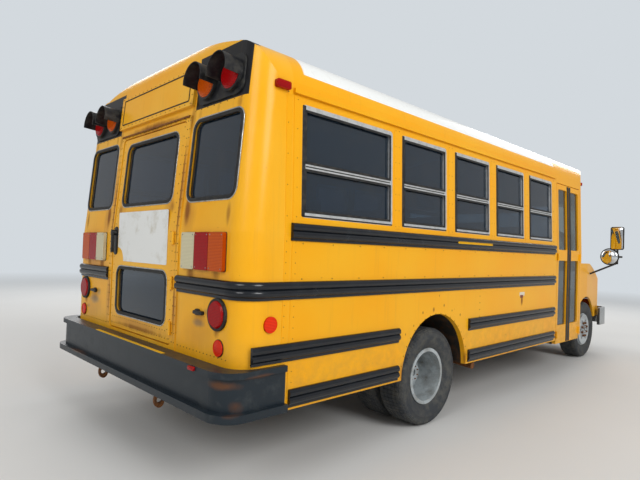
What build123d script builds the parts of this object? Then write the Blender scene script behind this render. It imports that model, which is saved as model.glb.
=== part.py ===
from build123d import *
import os
from math import cos, pi, radians, sin, sqrt

# A short school bus: a van's cab and ladder frame that carry a wide steel coach body.
# Sizes are millimetres. X points forward, Y to the bus's left, Z up from the ground.

# Chassis sizes
wheelbase = 4039
front_overhang = 880          # front axle to the front bumper's face
rear_overhang = 1820          # rear axle to the body's rear face
bumper_reach = 140            # rear bumper's lower lip behind the body's rear face
tyre_radius = 372
tyre_width = 223
rim_radius = 203
rim_width = 165
front_track = 1752
dual_mean_track = 1854        # between the mating faces of the twin wheels
dual_spacing = 262
rail_centre = 397
rail_width = 70
rail_depth = 160
rail_wall = 8
axle_tube_radius = 42
run_gap = 8                   # gap round doors and other moving panels
joint = 0.3                   # gap between pieces that seat on each other

# Body sizes
body_width = 2438
wall = 40
skirt_z = 420
belt_z = 1400                 # the walls lean in above this height
wall_lean = 0.035
rear_lean = 0.08
drip_z = 2200
drip_reach = 20
drip_deep = 28
shoulder_z = 2250
shoulder_radius = 240
crown_slope = 16
corner_radius = 140
roof_end_radius = 130
rear_panel = 310              # depth of the rear shell, to the seam
wall_length = 4147            # rear face to the end of the window wall
cap_length = 5170             # rear face to the top of the front cap's face
cap_radius = 110
cap_lean = 80
cap_half = 1090
cap_face_rise = 513           # from the cab's top to the cap's roof
floor_z = 720
floor_thick = 40
sill_depth = 60
sill_width = 50

# Window sizes
first_window = 382
first_window_width = 844
window_start = 1336
window_pitch = 711
window_width = 584
window_count = 4
window_sill = 1500
window_head = 2154
window_radius = 25
glass_thick = 6
sash = 30
rear_window_y = 828
rear_window_width = 505
rear_window_low = 1590
rear_window_high = 2080
window_corner = 60
exit_radius = 30
exit_trim = 62                # the flange round the emergency door
exit_proud = 5
sign_low = 2190
sign_high = 2440
sign_half = 550
sign_proud = 24
cut = 20                      # how far a cutter starts outside what it cuts

# Door sizes
exit_half = 470
exit_bottom = 700
exit_top = 2100
entry_jamb = 48
entry_width = 710
entry_post = 55
entry_bottom = 376
entry_top = 2165
leaf_thick = 35
door_seal = 50

# Cab sizes
cab_width = 2012
cab_belt = 1270
cab_top = 2000
cab_skin = 30
cab_tumble = 76
nose_z = 520
nose_reach = 800              # front axle to the front of the nose
nose_round = 60
nose_corner = 180
nose_taper = 60
hood_rear_reach = 115
hood_half = 800
hood_front_z = 1000
hood_crown = 35
hood_skin = 25
hood_front_gap = 18           # the hood's front edge swings forward as it lifts
rocker_z = 420
door_low = 530
door_gap_back = 485           # front axle back to the driver's door's hinge line
driver_door_width = 1030
cab_door_thick = 60
front_arch_radius = 420
front_arch_z = 400
rear_arch_radius = 440
screen_rim = 60
cab_window_rim = 60

# Stations along the bus
bus_length = bumper_reach + rear_overhang + wheelbase + front_overhang
rear_face = bumper_reach - bus_length / 2
rear_axle_x = rear_face + rear_overhang
front_axle_x = rear_axle_x + wheelbase
front_end = front_axle_x + front_overhang
seam_x = rear_face + rear_panel
wall_end = rear_face + wall_length
entry_start = wall_end + entry_jamb
entry_end = entry_start + entry_width
right_end = entry_end + entry_post
cap_end = rear_face + cap_length
door_front = front_axle_x - door_gap_back
door_rear = door_front - driver_door_width
fender_rear = door_front + run_gap
cab_rear = door_rear - 60
nose_front = front_axle_x + nose_reach
hood_rear = front_axle_x + hood_rear_reach
glass_side_x = front_axle_x - 240
glass_middle_x = front_axle_x + 90
header_side_x = cap_end - 80
header_middle_x = cap_end + 55
firewall_x = fender_rear + 40
body_half = body_width / 2
cab_half = cab_width / 2
axle_z = tyre_radius
rail_top = floor_z - floor_thick - sill_depth
rail_bottom = rail_top - rail_depth
rail_outer = rail_centre + rail_width / 2
side_windows = [(first_window, first_window_width)]
side_windows += [(window_start + i * window_pitch, window_width) for i in range(window_count)]


def block(low_x, high_x, low_y, high_y, low_z, high_z):
    # A plain bar or plate between two opposite corners
    with BuildPart() as solid:
        with Locations(((low_x + high_x) / 2, (low_y + high_y) / 2, (low_z + high_z) / 2)):
            Box(high_x - low_x, high_y - low_y, high_z - low_z)
    return solid.part


def side_block(low_x, high_x, near, distant, low_z, high_z, side):
    # The same, between two distances from the middle on one side (-1 right, 1 left)
    low, high = sorted((side * near, side * distant))
    return block(low_x, high_x, low, high, low_z, high_z)


def rod(start, end, radius):
    # A round bar between two points
    with BuildPart() as bar:
        with BuildLine() as path:
            Line(start, end)
        with BuildSketch(Plane(origin=start, z_dir=path.line @ 1 - path.line @ 0)):
            Circle(radius)
        sweep(path=path.line)
    return bar.part


def body_plan(inset, low, high, low_x, high_x, low_half, high_half):
    # The body seen from above between two heights, with round rear corners
    bend = corner_radius - inset
    bend_mid = bend * (1 - cos(pi / 4))
    front = cap_end + cap_lean - inset
    with BuildPart() as plan:
        for z, back, half in ((low, low_x, low_half), (high, high_x, high_half)):
            with BuildSketch(Plane.XY.offset(z)):
                with BuildLine():
                    Polyline((back, bend - half), (back, half - bend))
                    ThreePointArc((back, half - bend), (back + bend_mid, half - bend_mid), (back + bend, half))
                    Polyline((back + bend, half), (right_end, half), (front, cap_half - inset),
                             (front, inset - cap_half), (right_end, -half), (back + bend, -half))
                    ThreePointArc((back + bend, -half), (back + bend_mid, bend_mid - half),
                                  (back, bend - half))
                make_face()
        loft(ruled=True)
    return plan.part


def body_form(inset, bottom):
    # The coach body's whole outside, drawn in by inset on every face
    half = body_half - inset
    side_top = half - wall_lean * (shoulder_z - belt_z)
    bend = shoulder_radius - inset
    slope = radians(crown_slope)
    crown_y = side_top - bend * (1 - sin(slope))
    crown_z = shoulder_z + bend * cos(slope)
    middle = radians((90 - crown_slope) / 2)
    middle_y = side_top - bend + bend * cos(middle)
    middle_z = shoulder_z + bend * sin(middle)
    top = crown_z + crown_y / sin(slope) * (1 - cos(slope))
    back = rear_face + inset
    front = cap_end - inset
    lean_x = back + rear_lean * (top - belt_z)
    lean_half = half - wall_lean * (top - belt_z)
    tail = roof_end_radius - inset
    tail_mid = tail * (1 - cos(pi / 4))
    nose = cap_radius - inset
    nose_mid = nose * (1 - cos(pi / 4))
    with BuildPart() as form:
        # From above: round rear corners and a front cap that narrows
        add(body_plan(inset, bottom, belt_z, back, back, half, half))
        add(body_plan(inset, belt_z, top, back, lean_x, half, lean_half))
        # Across the bus: leaning walls, round shoulders and a crowned roof
        with BuildSketch(Plane.YZ.offset(back)):
            with BuildLine():
                Polyline((-side_top, shoulder_z), (-half, belt_z), (-half, bottom),
                         (half, bottom), (half, belt_z), (side_top, shoulder_z))
                ThreePointArc((side_top, shoulder_z), (middle_y, middle_z), (crown_y, crown_z))
                ThreePointArc((crown_y, crown_z), (0, top), (-crown_y, crown_z))
                ThreePointArc((-crown_y, crown_z), (-middle_y, middle_z), (-side_top, shoulder_z))
            make_face()
        extrude(amount=bus_length, mode=Mode.INTERSECT)
        # From the side: a round roof end behind and the front cap's leaning face
        with BuildSketch(Plane.XZ):
            with BuildLine():
                Polyline((lean_x, top - tail), (back, top - tail), (back, bottom),
                         (front + cap_lean, bottom), (front + cap_lean, cab_top), (front, top - nose))
                ThreePointArc((front, top - nose), (front - nose_mid, top - nose_mid), (front - nose, top))
                Line((front - nose, top), (lean_x + tail, top))
                ThreePointArc((lean_x + tail, top), (lean_x + tail_mid, top - tail_mid),
                              (lean_x, top - tail))
            make_face()
        extrude(amount=body_half, both=True, mode=Mode.INTERSECT)
    return form.part


def side_plane(side, height, depth):
    # The outer face of a side wall, drawn in by depth; local Y is zero at the belt line
    lean = wall_lean if height > belt_z else 0
    normal = Vector(0, side, lean).normalized()
    origin = Vector(0, side * body_half, belt_z) - normal * depth
    return Plane(origin=origin, x_dir=(-side, 0, 0), z_dir=normal)


def rear_plane(height, depth):
    # The outer face of the rear wall, drawn in by depth; local X runs to the right
    lean = rear_lean if height > belt_z else 0
    normal = Vector(-1, 0, lean).normalized()
    origin = Vector(rear_face, 0, belt_z) - normal * depth
    return Plane(origin=origin, x_dir=(0, -1, 0), z_dir=normal)


def round_hole(plane, across, width, low, high, radius, thickness):
    # A round-cornered prism that goes in from a wall plane
    with BuildPart() as hole:
        with BuildSketch(plane):
            with Locations((across, (low + high) / 2 - belt_z)):
                RectangleRounded(width, high - low, radius)
        extrude(amount=-thickness)
    return hole.part


# Body shell, from which each real panel is cut
with BuildPart() as shell:
    add(body_form(0, skirt_z))
    add(body_form(wall, skirt_z - wall), mode=Mode.SUBTRACT)

# Rear shell: the rear wall with its round corners and roof end
bumper_top = 680
with BuildPart() as rear_shell:
    add(shell.part)
    split(bisect_by=Plane.YZ.offset(seam_x), keep=Keep.BOTTOM)
    # A raised flange round the emergency door, and a blank sign box over it
    for low, high, width, proud in ((exit_bottom - exit_trim / 2, belt_z, exit_half + exit_trim, exit_proud),
                                    (belt_z, exit_top + exit_trim / 2, exit_half + exit_trim, exit_proud),
                                    (sign_low, sign_high, sign_half, sign_proud)):
        with BuildSketch(rear_plane(high, 0)):
            with Locations((0, (low + high) / 2 - belt_z)):
                Rectangle(2 * width, high - low)
        extrude(amount=proud)
    add(round_hole(rear_plane(0, -cut), 0, 2 * (exit_half + run_gap), exit_bottom - run_gap,
                   exit_top + run_gap, exit_radius + run_gap, rear_panel), mode=Mode.SUBTRACT)
    for side in (-1, 1):
        add(round_hole(rear_plane(rear_window_low, -cut), side * rear_window_y, rear_window_width,
                       rear_window_low, rear_window_high, window_corner, wall + 2 * cut), mode=Mode.SUBTRACT)
    # The frame's ends pass under the rear wall
    add(block(rear_face - 1, rear_face + wall + 1, corner_radius - body_half, body_half - corner_radius,
              skirt_z - 1, floor_z - floor_thick - sill_depth), mode=Mode.SUBTRACT)
rear_shell.part.label = "rear_shell"

# Side walls with five windows a side and the rear wheel arch
side_walls = []
for name, side, end in (("side_wall_right", -1, right_end), ("side_wall_left", 1, wall_end)):
    with BuildPart() as panel:
        add(shell.part)
        split(bisect_by=Plane.YZ.offset(seam_x), keep=Keep.TOP)
        split(bisect_by=Plane.YZ.offset(end), keep=Keep.BOTTOM)
        split(bisect_by=Plane.XY.offset(drip_z), keep=Keep.BOTTOM)
        split(bisect_by=Plane.XZ, keep=Keep.TOP if side < 0 else Keep.BOTTOM)
        for start, width in side_windows:
            add(round_hole(side_plane(side, window_sill, -cut), -side * (rear_face + start + width / 2), width,
                           window_sill, window_head, window_radius, wall + 2 * cut), mode=Mode.SUBTRACT)
        with Locations((rear_axle_x, side * body_half, skirt_z)):
            Cylinder(rear_arch_radius, body_half, rotation=(90, 0, 0), mode=Mode.SUBTRACT)
        if side < 0:
            with Locations(((entry_start + entry_end) / 2, -body_half, (skirt_z - wall + entry_top) / 2)):
                Box(entry_width, body_half, entry_top - skirt_z + wall, mode=Mode.SUBTRACT)
    panel.part.label = name
    side_walls.append(panel.part)

# Roof
with BuildPart() as roof:
    add(shell.part)
    split(bisect_by=Plane.YZ.offset(seam_x), keep=Keep.TOP)
    split(bisect_by=Plane.YZ.offset(wall_end), keep=Keep.BOTTOM)
    split(bisect_by=Plane.XY.offset(drip_z), keep=Keep.TOP)
    # Drip rails along both edges
    drip_y = body_half - wall_lean * (drip_z - belt_z)
    for side in (-1, 1):
        add(side_block(seam_x, wall_end, drip_y - drip_reach / 2, drip_y + drip_reach, drip_z, drip_z + drip_deep,
                       side))
roof.part.label = "roof"

def cap_plane(depth):
    # The front cap's leaning face, drawn in by depth; local Y is zero at its lower edge
    normal = Vector(cap_face_rise, 0, cap_lean).normalized()
    return Plane(origin=Vector(cap_end + cap_lean, 0, cab_top) - normal * depth, x_dir=(0, 1, 0), z_dir=normal)


# Front cap over the cab, with a soffit that closes its underside
front_warning_up = 250
front_sign_half = 470
front_sign_height = 220
with BuildPart() as soffit:
    add(body_form(0, skirt_z))
    split(bisect_by=Plane.YZ.offset(wall_end), keep=Keep.TOP)
    split(bisect_by=Plane.XY.offset(cab_top), keep=Keep.TOP)
    split(bisect_by=Plane.XY.offset(cab_top + cab_skin), keep=Keep.BOTTOM)
    add(side_block(wall_end - 1, header_side_x - wall, 0, cab_half - cab_tumble - cab_skin,
                   cab_top - 1, cab_top + wall, 1), mode=Mode.SUBTRACT)
    add(side_block(wall_end - 1, header_side_x - wall, 0, cab_half - cab_tumble - cab_skin,
                   cab_top - 1, cab_top + wall, -1), mode=Mode.SUBTRACT)
with BuildPart() as front_cap:
    add(shell.part)
    split(bisect_by=Plane.YZ.offset(wall_end), keep=Keep.TOP)
    split(bisect_by=Plane.XY.offset(cab_top), keep=Keep.TOP)
    add(soffit.part)
    add(side_block(wall_end - 1, right_end, cab_half / 2, body_half + 1, cab_top - 1, drip_z, -1),
        mode=Mode.SUBTRACT)
    # A blank sign box over the windscreen
    with BuildSketch(cap_plane(0)):
        with Locations((0, front_warning_up)):
            Rectangle(2 * front_sign_half, front_sign_height)
    extrude(amount=sign_proud)
front_cap.part.label = "front_cap"


def greenhouse(inset):
    # The cab above its belt: leaning sides and a bowed windscreen
    with BuildPart() as form:
        for z, back_half, side_x, middle_x in (
                (cab_belt, cab_half, glass_side_x, glass_middle_x),
                (cab_top, cab_half - cab_tumble, header_side_x, header_middle_x)):
            half = back_half - inset
            with BuildSketch(Plane.XY.offset(z)):
                with BuildLine():
                    Polyline((side_x - inset, half - cab_skin), (cab_rear, half),
                             (cab_rear, -half), (side_x - inset, cab_skin - half))
                    ThreePointArc((side_x - inset, cab_skin - half), (middle_x - inset, 0),
                                  (side_x - inset, half - cab_skin))
                make_face()
        loft(ruled=True)
    return form.part


def nose_form(inset):
    # The cab's front end below the belt: fenders, hood and round front corners
    front = nose_front - inset
    half = cab_half - inset
    lip = hood_front_z - inset
    top = cab_belt - inset
    low = nose_z - inset
    lip_mid = nose_round * (1 - cos(pi / 4))
    turn = nose_corner - inset
    turn_mid = turn * (1 - cos(pi / 4))
    end = half - nose_taper
    with BuildPart() as form:
        with BuildSketch(Plane.XZ):
            with BuildLine():
                Polyline((hood_rear, top), (fender_rear, top), (fender_rear, low), (front, low),
                         (front, lip - nose_round))
                ThreePointArc((front, lip - nose_round), (front - lip_mid, lip - lip_mid),
                              (front - nose_round, lip))
                ThreePointArc((front - nose_round, lip),
                              ((front - nose_round + hood_rear) / 2, (lip + top) / 2 + hood_crown),
                              (hood_rear, top))
            make_face()
        extrude(amount=half, both=True)
        with BuildSketch(Plane.XY.offset(low)):
            with BuildLine():
                Line((front, end - turn), (front, turn - end))
                ThreePointArc((front, turn - end), (front - turn_mid, turn_mid - end), (front - turn, -end))
                Polyline((front - turn, -end), (front_axle_x, -half), (fender_rear, -half),
                         (fender_rear, half), (front_axle_x, half), (front - turn, end))
                ThreePointArc((front - turn, end), (front - turn_mid, end - turn_mid), (front, end - turn))
            make_face()
        extrude(amount=cab_belt, mode=Mode.INTERSECT)
    return form.part


def leaning_panel(first_x, last_x, side):
    # The panel that joins the wide body to the narrower cab on one side
    with BuildPart() as panel:
        for x, half, bend_z, top_half in (
                (first_x, body_half, belt_z, body_half - wall_lean * (cab_top - belt_z)),
                (last_x, cab_half, cab_belt, cab_half - cab_tumble)):
            with BuildSketch(Plane.YZ.offset(x)):
                with BuildLine():
                    Polyline((side * half, skirt_z), (side * half, bend_z), (side * top_half, cab_top),
                             (side * (top_half - wall), cab_top), (side * (half - wall), bend_z),
                             (side * (half - wall), skirt_z), close=True)
                make_face()
        loft(ruled=True)
    return panel.part


def door_prism(outset, near, distant):
    # A prism with the driver's door's outline, which follows the windscreen pillar
    with BuildPart() as prism:
        with BuildSketch(Plane.XZ.offset(-distant)):
            with BuildLine():
                Polyline((door_rear - outset, door_low - outset), (door_front + outset, door_low - outset),
                         (door_front + outset, pillar_foot_z + outset / 2),
                         (pillar_head_x + outset, door_head + outset),
                         (door_rear - outset, door_head + outset), close=True)
            make_face()
        extrude(amount=distant - near)
    return prism.part


door_head = cab_top - 40
pillar_foot_z = 1500
pillar_head_x = header_side_x - 75
corner_window_z = (cab_belt + cab_top) / 2 + 20
corner_window_height = cab_top - cab_belt - 180
corner_window_margin = 150
screen_low_half = 830
screen_high_half = 770

# Cab shell: pillars, rockers, firewall and the panels that meet the body
with BuildPart() as cab_shell:
    add(greenhouse(0))
    add(greenhouse(cab_skin), mode=Mode.SUBTRACT)
    with BuildSketch(Plane.YZ.offset(header_side_x)):
        with BuildLine():
            Polyline((-screen_low_half, cab_belt + screen_rim), (screen_low_half, cab_belt + screen_rim),
                     (screen_high_half, cab_top - screen_rim), (-screen_high_half, cab_top - screen_rim),
                     close=True)
        make_face()
    extrude(amount=bus_length, mode=Mode.SUBTRACT)
    add(side_block(cab_rear - 1, door_front, cab_half / 2, body_half, cab_belt - 1, cab_top + 1, -1),
        mode=Mode.SUBTRACT)
    add(side_block(cab_rear, door_front, cab_half - cab_door_thick, cab_half, rocker_z, cab_belt, 1))
    add(side_block(door_front - 40, firewall_x, cab_half - 130, cab_half - cab_door_thick - 10, rocker_z,
                   cab_belt - hood_skin, 1))
    add(side_block(door_front - 40, firewall_x, cab_half - 70, cab_half - hood_skin - joint, rocker_z,
                   cab_belt - hood_skin, -1))
    add(block(firewall_x - 25, firewall_x, 70 - cab_half, cab_half - 70, floor_z, cab_belt - hood_skin))
    add(door_prism(run_gap, cab_half / 2, cab_half - cab_door_thick - 10 + run_gap), mode=Mode.SUBTRACT)
    add(door_prism(run_gap, cab_half - cab_door_thick - run_gap, cab_half + wall), mode=Mode.SUBTRACT)
    add(leaning_panel(wall_end, cab_rear, 1))
    add(leaning_panel(right_end, door_front, -1))
    with BuildSketch(Plane.XZ.offset(cab_half / 2)):
        with Locations(((right_end + door_front) / 2, corner_window_z)):
            RectangleRounded(door_front - right_end - corner_window_margin, corner_window_height, window_corner)
    extrude(amount=cab_half, mode=Mode.SUBTRACT)
cab_shell.part.label = "cab_shell"

# Butt hinges of the driver's door and the hood, whose leaves lie on the panels
barrel_radius = 7
barrel_half = 22
hinge_pin = 4
leaf_reach = 36
leaf_rise = 6
door_hinges = (650, 1130)
hood_hinges = (-600, 600)
door_axis_y = cab_half + barrel_radius + joint
hood_axis_x = hood_rear + run_gap / 2
hood_axis_z = cab_belt + barrel_radius + joint

# Fenders: the nose's skin with the wheel arches, and openings for hood, grille and lamps
grille_half = 560
grille_low = 620
grille_high = 930
lamp_outer = 880
lamp_low = 740
turn_low = 640
with BuildPart() as fenders:
    add(nose_form(0))
    add(nose_form(hood_skin), mode=Mode.SUBTRACT)
    add(block(fender_rear - 1, fender_rear + wall, hood_skin - cab_half, cab_half - hood_skin,
              nose_z - 1, cab_belt - hood_skin), mode=Mode.SUBTRACT)
    add(block(hood_rear, nose_front - nose_round - 10, -hood_half, hood_half, hood_front_z - 60, cab_belt + 1),
        mode=Mode.SUBTRACT)
    with Locations((front_axle_x, 0, front_arch_z)):
        Cylinder(front_arch_radius, body_width, rotation=(90, 0, 0), mode=Mode.SUBTRACT)
    add(block(nose_front - 200, nose_front + 1, -grille_half, grille_half, grille_low, grille_high),
        mode=Mode.SUBTRACT)
    for side in (-1, 1):
        add(side_block(nose_front - 200, nose_front + 1, grille_half + 30, lamp_outer, turn_low, grille_high,
                       side), mode=Mode.SUBTRACT)
    # Fixed hinge halves, each with its pin
    for z in door_hinges:
        with Locations((door_front, door_axis_y, z - barrel_half / 2)):
            Cylinder(barrel_radius, barrel_half)
        with Locations((door_front, door_axis_y, z)):
            Cylinder(hinge_pin, 2 * barrel_half - 2)
        for low_x, low_y in ((door_front, cab_half + joint), (fender_rear + 1, cab_half - 1)):
            add(block(low_x, door_front + leaf_reach, low_y, cab_half + leaf_rise, z - barrel_half, z))
    for y in hood_hinges:
        with Locations((hood_axis_x, y - barrel_half / 2, hood_axis_z)):
            Cylinder(barrel_radius, barrel_half, rotation=(90, 0, 0))
        with Locations((hood_axis_x, y, hood_axis_z)):
            Cylinder(hinge_pin, 2 * barrel_half - 2, rotation=(90, 0, 0))
        for high_x, low_z in ((hood_axis_x, cab_belt + joint), (hood_rear - 1, cab_belt - 1)):
            add(block(hood_axis_x - leaf_reach, high_x, y - barrel_half, y, low_z, cab_belt + leaf_rise))
fenders.part.label = "fenders"

# Hood
with BuildPart() as hood:
    add(nose_form(0))
    add(nose_form(hood_skin), mode=Mode.SUBTRACT)
    add(block(hood_rear + run_gap, nose_front - nose_round - 10 - hood_front_gap, run_gap - hood_half,
              hood_half - run_gap, hood_front_z - 60, cab_belt + 1), mode=Mode.INTERSECT)
    for y in hood_hinges:
        for low_x, low_z in ((hood_axis_x, cab_belt + joint), (hood_rear + run_gap + 1, cab_belt - 12)):
            add(block(low_x, hood_axis_x + leaf_reach, y + joint, y + barrel_half, low_z, cab_belt + leaf_rise))
        with Locations((hood_axis_x, y + (barrel_half + joint) / 2, hood_axis_z)):
            Cylinder(barrel_radius, barrel_half - joint, rotation=(90, 0, 0))
            Cylinder(hinge_pin + joint, barrel_half, rotation=(90, 0, 0), mode=Mode.SUBTRACT)
hood.part.label = "hood"

# Grille: a rim with level bars
grille_bar = 18
grille_bars = 6
grille_back = nose_front - 45
grille_face = nose_front - 8
with BuildPart() as grille:
    with BuildSketch(Plane.YZ.offset(grille_back)):
        with Locations((0, (grille_low + grille_high) / 2)):
            Rectangle(2 * (grille_half - joint), grille_high - grille_low - 2 * joint)
            Rectangle(2 * grille_half - 60, grille_high - grille_low - 60, mode=Mode.SUBTRACT)
            with GridLocations(0, (grille_high - grille_low - 60) / grille_bars, 1, grille_bars - 1):
                Rectangle(2 * grille_half - 58, grille_bar)
            Rectangle(grille_bar, grille_high - grille_low - 40)
    extrude(amount=grille_face - grille_back)
grille.part.label = "grille"

# Headlamps and turn lamps, cut from the nose's own form so that they follow it
with BuildPart() as nose_lamp_layer:
    add(nose_form(4))
    add(nose_form(hood_skin + 35), mode=Mode.SUBTRACT)
nose_lamps = []
for low, high in ((lamp_low + 6, grille_high - joint), (turn_low + joint, lamp_low)):
    lamp_spaces = [side_block(nose_front - 190, nose_front + 10, grille_half + 30 + joint, lamp_outer - joint,
                              low, high, side) for side in (-1, 1)]
    with BuildPart() as lamp_pair:
        add(lamp_spaces)
        add(nose_lamp_layer.part, mode=Mode.INTERSECT)
    nose_lamps.append(lamp_pair.part)
headlamps, turn_lamps = nose_lamps

# Emergency door in the rear wall, with two windows, a lever and hinge knuckles
exit_windows = ((810, 1140), (1595, 2045))
exit_window_half = 380
hinge_radius = 8
exit_axis_y = -exit_half - 4
exit_axis_x = rear_face - hinge_radius - 6
exit_hinges = (800, 1080, 1360)
hinge_length = 80
lever_y = 425
lever_low = 1245
lever_high = 1420
lever_reach = 36
with BuildPart() as emergency_door:
    add(shell.part)
    add(round_hole(rear_plane(0, -cut), 0, 2 * exit_half, exit_bottom, exit_top, exit_radius, rear_panel),
        mode=Mode.INTERSECT)
    for low, high in exit_windows:
        add(round_hole(rear_plane(low, -cut), 0, 2 * exit_window_half, low, high, window_corner,
                       wall + 2 * cut), mode=Mode.SUBTRACT)
    for z in exit_hinges:
        with Locations((exit_axis_x, exit_axis_y, z)):
            Cylinder(hinge_radius, hinge_length)
        add(block(exit_axis_x, rear_face + 1, exit_axis_y, exit_axis_y + 40, z - hinge_length / 2,
                  z + hinge_length / 2))
    with Locations((rear_face - lever_reach / 2, lever_y, lever_high - 25)):
        Cylinder(20, lever_reach, rotation=(0, 90, 0))
    add(block(rear_face - lever_reach, rear_face - lever_reach + 14, lever_y - 11, lever_y + 11,
              lever_low, lever_high))
emergency_door.part.label = "emergency_door"

# Glass lies in the middle of the wall
glass_depth = (wall - glass_thick) / 2
with BuildPart() as emergency_glass:
    for low, high in exit_windows:
        add(round_hole(rear_plane(low, glass_depth), 0, 2 * exit_window_half, low, high, window_corner,
                       glass_thick))
emergency_glass.part.label = "emergency_glass"

# Side window frames: an outer rim and a mid bar, with an upper and a lower pane
mid_bar_low = 1780
mid_bar_high = 1812
pane_radius = 4
pane_rows = ((window_sill + sash, mid_bar_low), (mid_bar_high, window_head - sash))
with BuildPart() as window_frames:
    for side in (-1, 1):
        with BuildSketch(side_plane(side, window_sill, 0)):
            for start, width in side_windows:
                middle = -side * (rear_face + start + width / 2)
                with Locations((middle, (window_sill + window_head) / 2 - belt_z)):
                    RectangleRounded(width, window_head - window_sill, window_radius)
                for low, high in pane_rows:
                    with Locations((middle, (low + high) / 2 - belt_z)):
                        RectangleRounded(width - 2 * sash, high - low, pane_radius, mode=Mode.SUBTRACT)
        extrude(amount=-wall)
window_frames.part.label = "window_frames"

with BuildPart() as body_glass:
    for side in (-1, 1):
        with BuildSketch(side_plane(side, window_sill, glass_depth)):
            for start, width in side_windows:
                for low, high in pane_rows:
                    with Locations((-side * (rear_face + start + width / 2), (low + high) / 2 - belt_z)):
                        RectangleRounded(width - 2 * sash, high - low, pane_radius)
        extrude(amount=-glass_thick)
        add(round_hole(rear_plane(rear_window_low, glass_depth), side * rear_window_y, rear_window_width,
                       rear_window_low, rear_window_high, window_corner, glass_thick))
body_glass.part.label = "body_glass"

# Cab glass: the bowed windscreen and the right corner window
screen_glass_inset = 8
with BuildPart() as corner_pane:
    add(leaning_panel(right_end, door_front, -1))
    with BuildSketch(Plane.XZ.offset(cab_half / 2)):
        with Locations(((right_end + door_front) / 2, corner_window_z)):
            RectangleRounded(door_front - right_end - corner_window_margin, corner_window_height, window_corner)
    extrude(amount=cab_half, mode=Mode.INTERSECT)
with BuildPart() as cab_glass:
    add(greenhouse(screen_glass_inset))
    add(greenhouse(screen_glass_inset + glass_thick), mode=Mode.SUBTRACT)
    with BuildSketch(Plane.YZ.offset(header_side_x)):
        with BuildLine():
            Polyline((-screen_low_half, cab_belt + screen_rim), (screen_low_half, cab_belt + screen_rim),
                     (screen_high_half, cab_top - screen_rim), (-screen_high_half, cab_top - screen_rim),
                     close=True)
        make_face()
    extrude(amount=bus_length, mode=Mode.INTERSECT)
    add(corner_pane.part)
cab_glass.part.label = "cab_glass"

# Driver's door, hinged at its front edge
with BuildPart() as door_window:
    add(door_prism(-cab_window_rim, cab_half / 2, cab_half + wall + 1))
    split(bisect_by=Plane.XY.offset(cab_belt + 25), keep=Keep.TOP)
with BuildPart() as driver_door:
    add(greenhouse(0))
    add(greenhouse(cab_skin), mode=Mode.SUBTRACT)
    add(side_block(cab_rear, firewall_x, cab_half - cab_door_thick, cab_half, door_low - 1, cab_belt, 1))
    add(door_prism(0, cab_half - cab_tumble - cab_door_thick, cab_half + wall), mode=Mode.INTERSECT)
    add(door_window.part, mode=Mode.SUBTRACT)
    with Locations((door_rear + 90, cab_half + 8, cab_belt - 90)):
        Box(130, 24, 28)
    for z in door_hinges:
        add(block(door_front - leaf_reach, door_front, cab_half - 1, cab_half + leaf_rise, z + joint,
                  z + barrel_half))
        with Locations((door_front, door_axis_y, z + (barrel_half + joint) / 2)):
            Cylinder(barrel_radius, barrel_half - joint)
            Cylinder(hinge_pin + joint, barrel_half, mode=Mode.SUBTRACT)
driver_door.part.label = "driver_door"

with BuildPart() as driver_glass:
    add(greenhouse((cab_skin - glass_thick) / 2))
    add(greenhouse((cab_skin + glass_thick) / 2), mode=Mode.SUBTRACT)
    add(door_window.part, mode=Mode.INTERSECT)
driver_glass.part.label = "driver_glass"

# Entry door: two leaves that swing outwards from the doorway's sides
leaf_low = entry_bottom + 4
leaf_high = entry_top - run_gap
leaf_mid = (entry_start + entry_end) / 2
leaf_panes = ((580, 1300), (1420, 2100))
leaf_rim = 40
leaf_corner = 20
lip_gap = 12                  # between the leaves' rubber lips
leaf_gap = 28                 # between the leaves behind the lips, so that they pass as they swing
lip_thick = 10
leaf_hinges = (skirt_z + 60, belt_z - 60)
entry_axis_y = -body_half - 12
entry_leaves = []
entry_glass = []
for name, low, high, rims in (("rear", entry_start + run_gap, leaf_mid - lip_gap / 2, (leaf_rim, door_seal)),
                              ("front", leaf_mid + lip_gap / 2, entry_end - run_gap, (door_seal, leaf_rim))):
    outer_end = low if name == "rear" else high
    inward = 1 if name == "rear" else -1
    hinge_span = sorted((outer_end, outer_end + inward * 24))
    pane_mid = (low + rims[0] + high - rims[1]) / 2
    pane_width = high - low - rims[0] - rims[1]
    with BuildPart() as leaf:
        add(shell.part)
        add(side_block(low, high, cab_half / 2, body_half + 1, skirt_z, leaf_high, -1), mode=Mode.INTERSECT)
        add(side_block(low, high, body_half - wall, body_half, leaf_low, skirt_z + 1, -1))
        for bottom, top in leaf_panes:
            add(round_hole(side_plane(-1, bottom, -cut), pane_mid, pane_width, bottom, top, leaf_corner,
                           wall + 2 * cut), mode=Mode.SUBTRACT)
        for bottom, top in ((leaf_low - 1, belt_z), (belt_z, leaf_high + cut)):
            add(round_hole(side_plane(-1, top, lip_thick), leaf_mid, leaf_gap, bottom, top, 1, wall + cut),
                mode=Mode.SUBTRACT)
        for z in leaf_hinges:
            with Locations((outer_end, entry_axis_y, z)):
                Cylinder(hinge_radius, hinge_length)
            add(block(hinge_span[0], hinge_span[1], entry_axis_y, 1 - body_half, z - hinge_length / 2,
                      z + hinge_length / 2))
    leaf.part.label = "entry_leaf_" + name
    entry_leaves.append(leaf.part)
    with BuildPart() as leaf_glass:
        for bottom, top in leaf_panes:
            add(round_hole(side_plane(-1, bottom, glass_depth), pane_mid, pane_width, bottom, top,
                           leaf_corner, glass_thick))
    leaf_glass.part.label = "entry_glass_" + name
    entry_glass.append(leaf_glass.part)

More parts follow.
